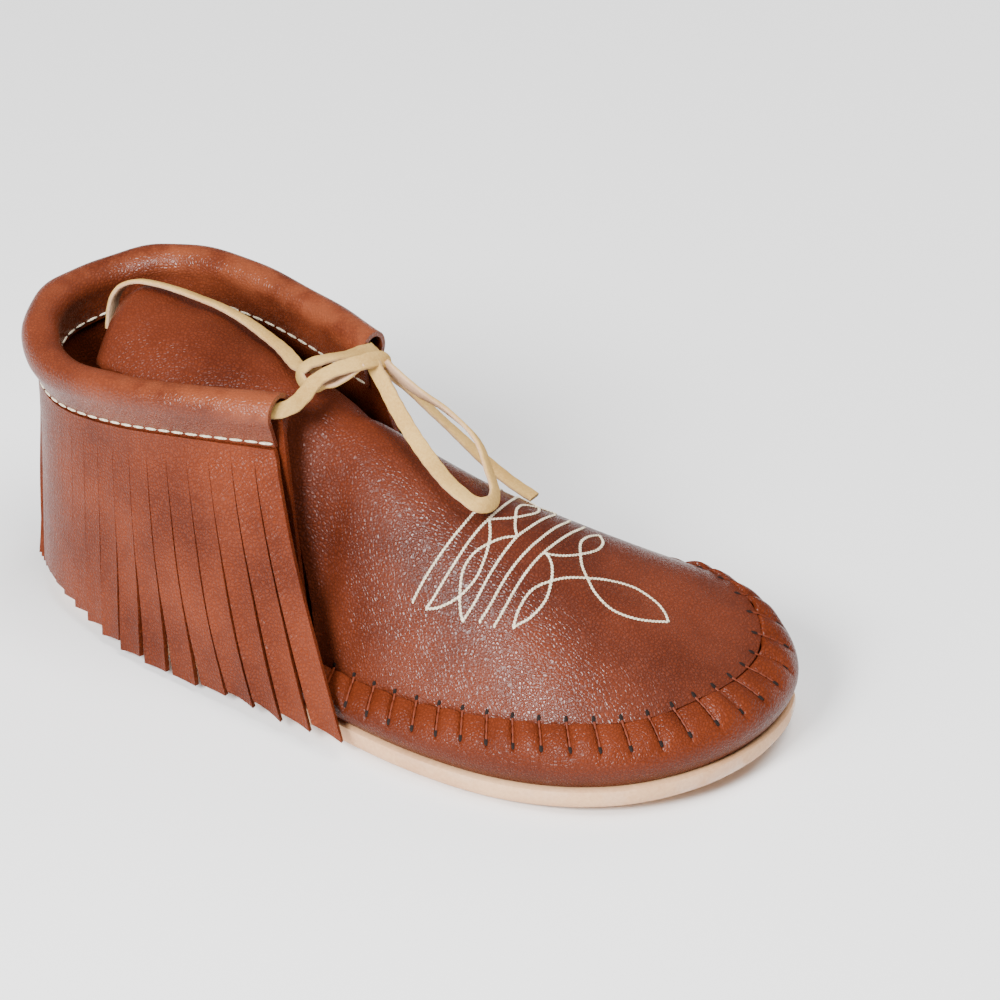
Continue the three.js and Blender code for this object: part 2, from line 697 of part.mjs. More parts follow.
addPiece("outsole", outsoleGeometry(), "crepe");
addPiece("insole", insoleGeometry(), "lining");
addPiece("upper", upperGeometry(), "leather");
addPiece("apron_tongue", apronGeometry(), "leather");
addPiece("cuff", cuffGeometry(), "leather");
addPiece("fringe", fringeGeometry(), "leather");
const stands = new THREE.Box3().setFromObject(shoe);
addPiece("lace_knot", fused(laceGeometry(LACE_FROM_LATERAL), laceGeometry(LACE_FROM_MEDIAL)), "lace");
addPiece("lace_loop", laceGeometry(LACE_LOOP), "lace");
addPiece("lace_end_front", laceGeometry(LACE_END_FRONT), "lace");
addPiece("lace_end_back", laceGeometry(LACE_END_BACK), "lace");

// The part's origin is on the floor under the middle of the shoe.
const middle = stands.getCenter(new THREE.Vector3());
for (const mesh of shoe.children) mesh.position.set(-middle.x, -middle.y, -stands.min.z);
export default shoe;
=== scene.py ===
"""Looks of a fringed leather moccasin for the right foot, on the CAD parts of the same frame.

The shapes are worked out in the shoe's own millimetres: x from the back of the heel to the toe,
y to the inner side of the foot, z up from the floor.
"""

import math

import bmesh
import bpy
import numpy as np
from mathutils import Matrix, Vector
from mathutils.bvhtree import BVHTree


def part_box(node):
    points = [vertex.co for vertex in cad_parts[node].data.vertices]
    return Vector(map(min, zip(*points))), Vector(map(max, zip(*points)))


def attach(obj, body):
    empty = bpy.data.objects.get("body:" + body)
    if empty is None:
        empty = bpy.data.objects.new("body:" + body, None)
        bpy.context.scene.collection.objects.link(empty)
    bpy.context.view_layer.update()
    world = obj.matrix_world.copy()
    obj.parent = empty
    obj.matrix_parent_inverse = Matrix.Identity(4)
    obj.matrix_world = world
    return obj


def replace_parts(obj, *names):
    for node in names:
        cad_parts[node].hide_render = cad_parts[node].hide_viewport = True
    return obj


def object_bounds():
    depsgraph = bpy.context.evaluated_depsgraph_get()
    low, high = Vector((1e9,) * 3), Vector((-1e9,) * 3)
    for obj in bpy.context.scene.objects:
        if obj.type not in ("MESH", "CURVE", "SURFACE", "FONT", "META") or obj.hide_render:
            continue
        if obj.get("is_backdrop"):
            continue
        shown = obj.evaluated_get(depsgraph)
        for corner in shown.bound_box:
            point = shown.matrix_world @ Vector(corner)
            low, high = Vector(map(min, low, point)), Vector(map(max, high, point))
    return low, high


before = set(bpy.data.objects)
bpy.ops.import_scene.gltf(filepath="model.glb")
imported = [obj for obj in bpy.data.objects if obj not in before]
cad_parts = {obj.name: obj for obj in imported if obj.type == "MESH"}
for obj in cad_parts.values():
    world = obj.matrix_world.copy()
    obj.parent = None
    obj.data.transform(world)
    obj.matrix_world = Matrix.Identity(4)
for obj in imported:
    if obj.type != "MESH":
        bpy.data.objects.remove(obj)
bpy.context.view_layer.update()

# Outsole: a flat tan crepe sheet, cut round with the upper and cemented under it.
# Its edge shows all along the foot, with some clear cement on it near the toe.
LENGTH = 253.0
LATERAL, MEDIAL = -1.0, 1.0
SOLE_THICKNESS = 7.0
SOLE_INSET = 0.6
SOLE_STATIONS = 150
SPINE_HEEL, SPINE_TOE = 32.0, 204.0
BELLY_SHARE = 0.42
FEATHER_INSET = 3.0
SHOULDER = math.radians(58)
ARCH_X, ARCH_HALF, ARCH_LIFT = 104.0, 20.0, 1.5
SPRING_X, TOE_SPRING = 176.0, 5.0
OUTLINE = {
    "turn": (0, 0.1, 0.2, 0.3, 0.4, 0.5, 0.6, 0.7, 0.8, 0.9, 1),
    "lateral": (0, 19, 33.5, 41.5, 46.5, 52.5, 57.5, 55, 43, 21.5, -5),
    "medial": (0, 17.5, 28.5, 30, 27.5, 30, 40, 47, 45.5, 32, 5),
}
RIDGE = {
    "x": (26, 32, 50, 75, 100, 125, 150, 180, 204, 224),
    "y": (-4, -4.5, -5.5, -8, -9.5, -10, -9.5, -6.5, -3, -1),
    "z": (98.5, 102.8, 101.6, 97, 91, 82.5, 72, 60.5, 50, 40.5),
}
SEAM = {
    "x": (0, 60, 124, 156, 193, 222, 240, 250),
    "inset": (1, 2.5, 8, 9, 9.5, 10, 10.5, 11),
    "lateral": (25, 22, 19, 19.5, 23.5, 26, 27, 29),
    "medial": (25, 28, 33, 36, 38.5, 39, 34.5, 29),
}
COLLAR = {
    "x": (0, 17, 40, 76, 106),
    "inset": (-1.5, -1, 0.5, 4.5, 15),
    "lateral": (88.5, 84, 86, 92.5, 95),
    "medial": (88.5, 94, 96, 95, 94.5),
}


def smooth(table, column, place):
    """A table's column at any place along its first column, as a smooth curve."""
    key = np.array(next(iter(table.values())), float)
    value = np.array(table[column], float)
    place = np.clip(place, key[0], key[-1])
    i = np.clip(np.searchsorted(key, place) - 1, 0, len(key) - 2)
    before, after = np.maximum(i - 1, 0), np.minimum(i + 2, len(key) - 1)
    span = key[i + 1] - key[i]
    s = (place - key[i]) / span
    start = (value[i + 1] - value[before]) / (key[i + 1] - key[before]) * span
    end = (value[after] - value[i]) / (key[after] - key[i]) * span
    ease = s * s * (3 - 2 * s)
    return value[i] + (value[i + 1] - value[i]) * ease + s * (1 - s) * ((1 - s) * start - s * end)


def fade(value, low, high):
    """0 below low, 1 above high, and smooth between them."""
    s = np.clip((value - low) / (high - low), 0, 1)
    return s * s * (3 - 2 * s)


def floor_lift(x):
    """How far the sole lies off the floor: a shallow arch and the toe spring."""
    arch = np.maximum(0, 1 - ((x - ARCH_X) / ARCH_HALF) ** 2) ** 2
    spring = np.maximum(0, (x - SPRING_X) / (LENGTH - SPRING_X)) ** 2
    return ARCH_LIFT * arch + TOE_SPRING * spring


class Ribs:
    """Ribs of the last: feet on the plan outline, and the way in from there to the spine."""

    def __init__(self, turn, side):
        turn, side = np.broadcast_arrays(np.asarray(turn, float), np.asarray(side, float))

        def sided(table, place):
            lateral, medial = smooth(table, "lateral", place), smooth(table, "medial", place)
            return np.where(side < 0, lateral, medial)

        self.x = LENGTH * (1 - np.cos(np.pi * turn)) / 2
        self.y = side * sided(OUTLINE, turn)
        self.spine_x = SPINE_HEEL + (SPINE_TOE - SPINE_HEEL) * self.x / LENGTH
        way_x = self.spine_x - self.x
        way_y = smooth(RIDGE, "y", self.spine_x) - self.y
        far = np.hypot(way_x, way_y)
        self.in_x, self.in_y = way_x / far, way_y / far
        self.feather = SOLE_THICKNESS + floor_lift(self.x)
        self.seam_z = sided(SEAM, self.x)
        self.belly = self.feather + BELLY_SHARE * (self.seam_z - self.feather)
        self.seam_inset = smooth(SEAM, "inset", self.x)
        self.collar_z = sided(COLLAR, self.x)
        self.collar_inset = smooth(COLLAR, "inset", self.x)

    def at(self, inset, z):
        x, y = self.x + self.in_x * inset, self.y + self.in_y * inset
        return np.stack(np.broadcast_arrays(x, y, z), -1)

    def inset(self, z):
        """How far in from the outline the leather's outer face is at a height."""
        low = FEATHER_INSET * ((self.belly - z) / (self.belly - self.feather)) ** 2
        sine = np.clip(math.sin(SHOULDER) * (z - self.belly) / (self.seam_z - self.belly), 0, 0.99)
        wall = self.seam_inset * (1 - np.sqrt(1 - sine**2)) / (1 - math.cos(SHOULDER))
        share = (z - self.seam_z) / (self.collar_z - self.seam_z)
        quarter = self.seam_inset + (self.collar_inset - self.seam_inset) * share
        return np.where(z < self.belly, low, np.where(z <= self.seam_z, wall, quarter))


def turn_at(x):
    return np.arccos(1 - 2 * np.asarray(x) / LENGTH) / np.pi


sole_turns = np.arange(SOLE_STATIONS) / SOLE_STATIONS
sole_ribs = Ribs(
    np.concatenate([sole_turns, 1 - sole_turns]),
    np.concatenate([np.full(SOLE_STATIONS, LATERAL), np.full(SOLE_STATIONS, MEDIAL)]),
)
sole_edge = sole_ribs.at(SOLE_INSET, 0.0)
shift = np.array([*(np.array(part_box("outsole")[0][:2]) * 1000 - sole_edge.min(0)[:2]), 0.0])


def to_row(points):
    """From the shoe's millimetres to the frame's metres."""
    return (np.asarray(points) + shift) / 1000


def bands(index):
    """Faces between rows of vertex numbers, each row a loop."""
    here, there = index[:-1], index[1:]
    quads = np.stack([here, there, np.roll(there, -1, 1), np.roll(here, -1, 1)], -1)
    return quads.reshape(-1, 4).tolist()


# Points nearer than this, in metres, are one.
MERGE_DISTANCE = 2e-6


def shown(name, points, faces, material, sharp=40):
    """A piece of the shoe from points in metres, smooth but for edges sharper than an angle."""
    mesh = bpy.data.meshes.new(name)
    mesh.from_pydata([tuple(p) for p in points], [], faces)
    work = bmesh.new()
    work.from_mesh(mesh)
    bmesh.ops.remove_doubles(work, verts=work.verts, dist=MERGE_DISTANCE)
    bmesh.ops.recalc_face_normals(work, faces=work.faces)
    work.to_mesh(mesh)
    work.free()
    mesh.shade_smooth()
    mesh.set_sharp_from_angle(angle=math.radians(sharp))
    mesh.materials.append(material)
    piece = bpy.data.objects.new(name, mesh)
    bpy.context.scene.collection.objects.link(piece)
    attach(piece, "root")
    return piece


def lofted(name, rows, material, ring=False, caps=False, sharp=40):
    """A piece made of rows of points, each row a loop. In a ring the last row meets the first."""
    count, wide = rows.shape[:2]
    index = np.arange(count * wide).reshape(count, wide)
    faces = bands(np.concatenate([index, index[:1]]) if ring else index)
    if caps:
        faces += [index[0].tolist(), index[-1][::-1].tolist()]
    return shown(name, to_row(rows.reshape(-1, 3)), faces, material, sharp)


def capped(piece):
    """The piece with its open ends filled."""
    work = bmesh.new()
    work.from_mesh(piece.data)
    edges = [e for e in work.edges if e.is_boundary]
    bmesh.ops.holes_fill(work, edges=edges, sides=0)
    bmesh.ops.recalc_face_normals(work, faces=work.faces)
    work.to_mesh(piece.data)
    work.free()
    return piece


class Field:
    """A value in a material's nodes, which adds, multiplies and mixes like a number."""

    def __init__(self, tree, socket):
        self.tree, self.socket = tree, socket

    def node(self, kind, inputs=(), output=0, **settings):
        made = self.tree.nodes.new(kind)
        for key, value in settings.items():
            setattr(made, key, value)
        for key, value in dict(inputs).items():
            if isinstance(value, Field):
                self.tree.links.new(value.socket, made.inputs[key])
            else:
                made.inputs[key].default_value = value
        return Field(self.tree, made.outputs[output])

    def math(self, operation, first, second):
        return self.node("ShaderNodeMath", {0: first, 1: second}, operation=operation)

    def __add__(self, other):
        return self.math("ADD", self, other)

    def __sub__(self, other):
        return self.math("SUBTRACT", self, other)

    def __mul__(self, other):
        return self.math("MULTIPLY", self, other)

    def __rsub__(self, other):
        return self.math("SUBTRACT", other, self)

    __radd__, __rmul__ = __add__, __mul__

    def step(self, low, high):
        inputs = {0: self, 1: low, 2: high, 3: 0.0, 4: 1.0}
        return self.node("ShaderNodeMapRange", inputs, interpolation_type="SMOOTHSTEP")

    def mix(self, low, high):
        """A colour between two, by this value."""
        return self.node("ShaderNodeMix", {0: self, 6: low, 7: high}, output=2, data_type="RGBA")

    def noise(self, scale, detail=2.0, roughness=0.5):
        """Noise over these coordinates."""
        inputs = {"Vector": self, "Scale": scale, "Detail": detail, "Roughness": roughness}
        return self.node("ShaderNodeTexNoise", inputs)

    def part(self, axis):
        return self.node("ShaderNodeSeparateXYZ", {0: self}, output=axis)


def coloured(name, roughness, sheen=0.0):
    """A new material, its surface node and its object coordinates."""
    material = bpy.data.materials.new(name)
    material.use_nodes = True
    tree = material.node_tree
    surface = tree.nodes["Principled BSDF"]
    surface.inputs["Roughness"].default_value = roughness
    surface.inputs["Sheen Weight"].default_value = sheen
    return material, surface, Field(tree, None).node("ShaderNodeTexCoord", output="Object")


def feed(surface, name, field):
    field.tree.links.new(field.socket, surface.inputs[name])


def bumped(surface, height, strength, distance):
    inputs = {"Strength": strength, "Distance": distance, "Height": height}
    feed(surface, "Normal", height.node("ShaderNodeBump", inputs))


# Clear cement lies in patches from the middle of the foot to the toe, on the edge's upper half.
CEMENT_BACK, CEMENT_FRONT = 0.0, 0.05
CEMENT_LOW, CEMENT_HIGH = 0.0035, 0.006
crepe, surface, place = coloured("crepe", 0.55)
surface.inputs["Coat Roughness"].default_value = 0.08
grit = place.noise(900.0, 3.0)
patches = place.noise(38.0, 2.0)
crepe_colour = (grit * 0.35 + patches * 0.65).step(0.3, 0.75)
feed(surface, "Base Color", crepe_colour.mix((0.5, 0.265, 0.13, 1), (0.67, 0.41, 0.225, 1)))
patchy = place.noise(95.0, 2.0).step(0.46, 0.54)
cement = patchy * place.part(0).step(CEMENT_BACK, CEMENT_FRONT)
feed(surface, "Coat Weight", cement * place.part(2).step(CEMENT_LOW, CEMENT_HIGH))
bumped(surface, grit + place.noise(240.0, 2.0) * 0.6, 0.35, 0.0004)

# The edge's section, from below: how far in from the outline, and how high.
SOLE_LEVELS = (
    (4.5, 0.0),
    (2.6, 0.25),
    (1.2, 1.0),
    (0.35, 2.2),
    (0.0, 3.6),
    (0.0, 5.6),
    (0.3, 6.5),
    (1.2, 7.0),
    (2.6, 7.0),
)


def sheet_rows(inset, levels):
    """Loops round a flat sheet in the sole's plan, at each level of its edge."""
    lift = floor_lift(sole_ribs.x)
    return np.stack([sole_ribs.at(inset + level_inset, lift + z) for level_inset, z in levels])


outsole = lofted("outsole_sheet", sheet_rows(SOLE_INSET, SOLE_LEVELS), crepe)
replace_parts(capped(outsole), "outsole")

# Insole: a leather-board sheet, brown and matt, about 3 mm thick. It is laid loose on the sole
# inside the shoe, a little clear of the wall all round.
INSOLE_INSET = 6.2
INSOLE_LEVELS = ((0.5, 7.35), (0.0, 7.8), (0.0, 9.7), (0.6, 10.2))
lining, surface, place = coloured("lining", 0.85, sheen=0.15)
nap = place.noise(700.0, 4.0)
lining_colour = nap.step(0.3, 0.7).mix((0.105, 0.034, 0.016, 1), (0.17, 0.06, 0.03, 1))
feed(surface, "Base Color", lining_colour)
bumped(surface, nap, 0.3, 0.0003)
insole = lofted("insole_board", sheet_rows(INSOLE_INSET, INSOLE_LEVELS), lining)
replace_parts(capped(insole), "insole")

# Upper: the foot wall, gathered in pillows to the apron seam round the toe, and the quarter
# that rises from it behind. One hide about 1.8 mm thick, cemented to the sole.
LEATHER = 1.8
QUARTER_TOP_X, QUARTER_FOOT_X = 106.0, 124.0
PUCKERS = 18
RIBS_A_PUCKER = 12
PILLOW = 2.2
PILLOW_REACH, PILLOW_TOP = 8.0, 1.5
PILLOW_ROUNDNESS = 0.42
PILLOW_STRAY, STRAY_TURN = 0.22, 2.4
VALLEY_SINK = 0.7
GATHER_START, GATHER_FULL = QUARTER_FOOT_X - 2, QUARTER_FOOT_X + 14
WALL_GAP = 0.35
LEVEL_BIAS = 1.25
SLOPE_STEP = 0.2
EDGE_CROWN = 0.45
PEBBLES_A_METRE = 900.0
PEBBLE_HEIGHT = 0.00028
WORN_REACH, WORN_SHARE = 0.006, 0.45
MATT_AND_SHADE_REACH, THROAT_SHADE_SHARE, MATT_GLOSS = 0.035, 0.16, 0.1
PAINTED_SHADE_REACH, PAINTED_SHADE_SHARE = 0.018, 0.6


def leather(name, deep, pale, gloss, grain=1.0, worn=None, worn_from=0, matt_and_shade_to=None, painted_shade_to=None):
    """Half-glossy hide in a fine closed pebble grain, with mottling and soft wrinkles.

    It can be worn pale from a height up, matt from the heel to a place with painted shade darkening
    its colour there, and darkened with painted shade up to a height.
    """
    material, surface, place = coloured(name, 0.4)
    surface.inputs["Specular IOR Level"].default_value = gloss
    drift = place.node("ShaderNodeTexNoise", {"Vector": place, "Scale": 420.0}, output=1)
    drifting = {0: 0.0007, 4: place, 5: drift}
    bent = place.node("ShaderNodeMix", drifting, output=1, data_type="VECTOR")
    cells = {"Vector": bent, "Scale": PEBBLES_A_METRE, "Randomness": 0.9}
    edge = place.node("ShaderNodeTexVoronoi", cells, feature="DISTANCE_TO_EDGE")
    dip = 1 - edge.step(0.0, 0.42)
    pebble = 1 - dip * dip
    fine = place.noise(3200.0, 2.0)
    soft = place.noise(85.0, 3.0)
    mottle = place.noise(24.0, 3.0, 0.55)
    stretch = {"Vector": place, "Rotation": (0, 0, 0.6), "Scale": (420, 130, 260)}
    stretched = place.node("ShaderNodeMapping", stretch)
    wrinkle = stretched.noise(1.0, 2.0).step(0.5, 0.62) * mottle.step(0.45, 0.6)
    tone = mottle.step(0.28, 0.74) * 0.55 + pebble * 0.33 + soft * 0.12
    colour = tone.mix(deep, pale)
    surfaces = [surface]
    if worn:
        rubbed = place.part(2).step(worn_from, worn_from + WORN_REACH)
        rubbed = rubbed * place.noise(110.0, 3.0).step(0.3, 0.65)
        colour = (rubbed * WORN_SHARE).mix(colour, worn)
    if matt_and_shade_to:
        dull_and_shaded = 1 - place.part(0).step(matt_and_shade_to - MATT_AND_SHADE_REACH, matt_and_shade_to)
        tree = place.tree
        dull = tree.nodes.new("ShaderNodeBsdfPrincipled")
        dull.inputs["Specular IOR Level"].default_value = MATT_GLOSS
        surfaces.append(dull)
        both = {0: dull_and_shaded, 1: Field(tree, surface.outputs[0]), 2: Field(tree, dull.outputs[0])}
        feed(tree.nodes["Material Output"], "Surface", place.node("ShaderNodeMixShader", both))
        # Painted shade: the colour darkens with the same mask, for the shade under the knot and the
        # cuff's front.
        colour = (dull_and_shaded * THROAT_SHADE_SHARE).mix(colour, deep)
    # Painted shade: the colour darkens toward the bottom, below a height, for the shade near the
    # sole.
    if painted_shade_to:
        painted_sole_shade = 1 - place.part(2).step(painted_shade_to - PAINTED_SHADE_REACH, painted_shade_to)
        colour = (painted_sole_shade * PAINTED_SHADE_SHARE).mix(colour, deep)
    roughness = pebble * -0.1 + soft * 0.16 + 0.28
    relief = pebble * grain + fine * 0.06 + soft * 1.2 + wrinkle * -0.5
    for skin in surfaces:
        feed(skin, "Base Color", colour)
        feed(skin, "Roughness", roughness)
        bumped(skin, relief, 0.5, PEBBLE_HEIGHT)
    return material


# The wall's hide darkens toward the sole with painted shade.
hide = leather(
    "hide", (0.04, 0.0066, 0.0024, 1), (0.148, 0.0285, 0.0098, 1), gloss=0.13, painted_shade_to=0.026
)


def seam_turns(side, steps, samples=1500):
    """Turns along one side, evenly spaced on the seam, from the quarter's foot to the toe."""
    turns = np.linspace(turn_at(QUARTER_FOOT_X), 1, samples)
    ribs = Ribs(turns, side)
    points = ribs.at(ribs.seam_inset, ribs.seam_z)
    along = np.concatenate([[0], np.cumsum(np.linalg.norm(np.diff(points, axis=0), axis=1))])
    return np.interp(np.linspace(0, along[-1], steps + 1), along, turns)


def side_turns(side, quarter_ribs=70, edge_ribs=24):
    """Turns of one side's ribs from heel to toe, and how many puckers each has behind it."""
    top, foot = turn_at(QUARTER_TOP_X), turn_at(QUARTER_FOOT_X)
    behind = top * np.arange(quarter_ribs) / quarter_ribs
    edge = np.linspace(top, foot, edge_ribs, endpoint=False)
    front = seam_turns(side, PUCKERS * RIBS_A_PUCKER)
    phase = np.concatenate([0 * behind, 0 * edge, np.arange(len(front)) / RIBS_A_PUCKER])
    return np.concatenate([behind, edge, front]), phase


lateral_turns, lateral_phase = side_turns(LATERAL)
medial_turns, medial_phase = side_turns(MEDIAL)
ring_turns = np.concatenate([lateral_turns, medial_turns[-2:0:-1]])
ring_phase = np.concatenate([lateral_phase, medial_phase[-2:0:-1]])
ring_sides = np.where(np.arange(len(ring_turns)) < len(lateral_turns), LATERAL, MEDIAL)


def wall_rows(turns, sides, phase, levels=34, inner_levels=10):
    """The wall's loops: up the outer face with its pillows, and down the inner face."""
    ribs = Ribs(turns[:, None], sides[:, None])
    bottom = ribs.feather + WALL_GAP
    share = np.clip((ribs.x - QUARTER_TOP_X) / (QUARTER_FOOT_X - QUARTER_TOP_X), 0, 1)
    top = ribs.collar_z + (ribs.seam_z - ribs.collar_z) * share
    fractions = 1 - (1 - np.linspace(0, 1, levels)) ** LEVEL_BIAS

    def face(fractions, depth):
        z = bottom + (top - bottom) * fractions[None, :]
        slope = ribs.inset(z + SLOPE_STEP) - ribs.inset(z - SLOPE_STEP)
        slope = slope / (2 * SLOPE_STEP)
        rise = 1 / np.hypot(1, slope)
        gathered = fade(ribs.x, GATHER_START, GATHER_FULL)
        near = fade(z - top, -PILLOW_REACH, -PILLOW_TOP) * gathered
        pillow = np.abs(np.sin(np.pi * phase[:, None])) ** PILLOW_ROUNDNESS
        wobble = 1 + PILLOW_STRAY * np.sin(phase[:, None] * STRAY_TURN + sides[:, None])
        out = PILLOW * near * (pillow * wobble - VALLEY_SINK) - depth
        return ribs.at(ribs.inset(z) - out * rise, np.maximum(z + out * slope * rise, bottom))

    outer = face(fractions, 0.0)
    inner = face(np.linspace(1, 0, inner_levels), LEATHER)
    crown = (outer[:, -1:] + inner[:, :1]) / 2 + np.array([0, 0, EDGE_CROWN])
    return np.concatenate([outer, crown, inner], axis=1)


rows = wall_rows(ring_turns, ring_sides, ring_phase)
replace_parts(lofted("upper_hide", rows, hide, ring=True), "upper")

# Apron and tongue: one hide over the toes, drawn up to the wall's edge all round,
# that runs back under the cuff and stands up in the opening as the tongue.
APRON_LOWER = 1.0
APRON_EDGE_IN = 1.0
APRON_DEPTH = 2.0
APRON_SINK = 0.3
TONGUE_ROW_BIAS = 1.6
FALL_STEP = 2.0
STEEPEST_LEAD = 0.85
TUCK_START_X, TUCK_INSET = 134.0, 1.5
TONGUE = {
    "x": (26, 28, 35, 68, 88, 100),
    "half": (15, 19, 24, 25, 22, 21),
    "drop": (14, 15, 15, 15, 17, 21),
}
# Soft folds of the hide: a trough from one place to another in plan, its reach and its depth.
FOLDS = (
    {"start": (110, -34), "end": (117, 12), "reach": 4.0, "depth": 1.2},
    {"start": (62, -24), "end": (74, 6), "reach": 7.0, "depth": 0.8},
    {"start": (46, -20), "end": (50, 4), "reach": 6.0, "depth": 0.6},
    {"start": (196, -28), "end": (212, -14), "reach": 8.0, "depth": 0.4},
)


def ridge_at(x):
    return np.stack([x, smooth(RIDGE, "y", x), smooth(RIDGE, "z", x) - APRON_LOWER], -1)


def folded(points):
    """The surface with its folds pressed into it."""
    for fold in FOLDS:
        start, end = np.array(fold["start"], float), np.array(fold["end"], float)
        way = end - start
        share = np.clip((points[..., :2] - start) @ way / (way @ way), 0, 1)
        away = np.linalg.norm(points[..., :2] - start - share[..., None] * way, axis=-1)
        points[..., 2] -= fold["depth"] * np.exp(-((away / fold["reach"]) ** 2))
    return points


def apron_rows(vamp_rows=150, tongue_rows=70, half_columns=44):
    """The hide's loops from the toe to the tongue's end: over its top and back below it."""
    turns = np.linspace(1, turn_at(QUARTER_FOOT_X), vamp_rows)
    edges = []
    for side in (LATERAL, MEDIAL):
        ribs = Ribs(turns, side)
        tuck = fade(TUCK_START_X - ribs.x, 0, TUCK_START_X - QUARTER_FOOT_X)
        vamp = ribs.at(ribs.seam_inset + APRON_EDGE_IN + TUCK_INSET * tuck, ribs.seam_z - APRON_SINK)
        spine = ridge_at(ribs.spine_x)
        reach = 1 - (1 - np.linspace(0, 1, tongue_rows + 1)[1:]) ** TONGUE_ROW_BIAS
        back = spine[-1, 0] + (TONGUE["x"][0] - spine[-1, 0]) * reach
        tongue = ridge_at(back)
        settle = fade(back, TONGUE["x"][-1], spine[-1, 0])[:, None]
        free = tongue + np.stack(
            [0 * back, side * smooth(TONGUE, "half", back), -smooth(TONGUE, "drop", back)], -1
        )
        edges.append(np.concatenate([vamp, free * (1 - settle) + vamp[-1:] * settle]))
    spine = np.concatenate([spine, tongue])
    fall = ridge_at(spine[:, 0] - FALL_STEP) - ridge_at(spine[:, 0] + FALL_STEP)
    fall = fall[:, 2] / (2 * FALL_STEP)
    halves = []
    for edge in edges:
        lead = np.clip(fall * (edge - spine)[:, 0] / (spine - edge)[:, 2], 0, STEEPEST_LEAD)
        lead = lead[:, None]
        left = np.linspace(1, 0, half_columns + 1)[None, :]
        points = edge[:, None] + (spine - edge)[:, None] * (1 - left)[..., None]
        rise = 1 - left * (lead + (1 - lead) * left)
        points[..., 2] = edge[:, None, 2] + (spine - edge)[:, None, 2] * rise
        halves.append(points)
    top = folded(np.concatenate([halves[0], halves[1][:, -2::-1]], axis=1))
    under = top[:, ::-1] - np.array([0, 0, APRON_DEPTH])
    return np.concatenate([top, under], axis=1)


# The apron is matt toward the throat, and its colour is darkened there with painted shade under the
# knot and cuff.
apron_hide = leather(
    "apron_hide", (0.038, 0.0068, 0.0029, 1), (0.14, 0.0295, 0.0122, 1), gloss=0.36, matt_and_shade_to=0.032
)
apron = capped(lofted("apron_tongue_hide", apron_rows(), apron_hide))
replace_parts(apron, "apron_tongue")
apron_tree = BVHTree.FromPolygons(
    [v.co for v in apron.data.vertices], [tuple(p.vertices) for p in apron.data.polygons]
)


OVERHEAD = 200.0


def on_apron(x, y):
    """The place on the apron's top under a plan point, and the way out of it there."""
    high = Vector(to_row((x, y, OVERHEAD)))
    point, normal, _, _ = apron_tree.ray_cast(high, Vector((0, 0, -1)))
    return point, normal if normal.z > 0 else -normal


# Toe stitching: a traditional figure in cream thread, the same on both sides of the middle line.
# Five lines run across, a crossed band lies between two of them, and a leaf points to the toe.
CREAM_STITCH = 1.15
CREAM_THREAD, CREAM_FLATNESS = 0.8, 0.55
CREAM_FILL, CREAM_RISE, CREAM_SLANT = 1.35, 0.15, 0.45
FIGURE_STEPS = 24
# How far the figure's middle line stands beside the ridge of the foot.
FIGURE_MIDDLE = {
    "x": (150, 173, 185, 195, 208, 220),
    "y": (-3.4, -3.3, -2.7, -2.2, 0.2, 3.4),
}
# Each line of the figure: places along the foot, and how far they are from the middle line.
FIGURE = (
    {"x": (153.8, 157.6, 159.4, 159.8), "half": (24.2, 14.8, 7, 0)},
    {"x": (158.6, 160.3, 162.4, 163.6, 164.1), "half": (24.7, 22.2, 16, 8, 0)},
    {"x": (171.2, 172.8, 173.4, 173.6, 173.4), "half": (25.4, 21, 13.9, 6, 0)},
    {"x": (176.2, 177.4, 177.9, 178.3, 178.3), "half": (24.8, 20.4, 12.5, 4, 0)},
    {"x": (180.8, 181.6, 181.9, 182), "half": (24.9, 20.2, 11, 0)},
    {
        "x": (158.6, 163.2, 167.7, 170.2, 169.7, 167.9, 165, 164.1),
        "half": (24.7, 23.8, 21.2, 16.6, 10.9, 5.6, 1, 0),
    },
    {
        "x": (171.2, 168.9, 166.9, 165.7, 166.4, 168.6, 171, 173.4),
        "half": (25.4, 23, 19.6, 16, 11.6, 7.2, 3, 0),
    },
    {
        "x": (186.1, 185.4, 186, 188.9, 192.1, 195.5, 200, 206, 212, 216, 219),
        "half": (23.8, 18.9, 13.4, 8, 3.4, 0, -4, -6.6, -5.8, -3.4, 0),
    },
    {
        "x": (186.1, 189.5, 190.6, 188.9, 186.6, 184, 182),
        "half": (23.8, 19.6, 14, 8, 3.6, 0.8, 0),
    },
)


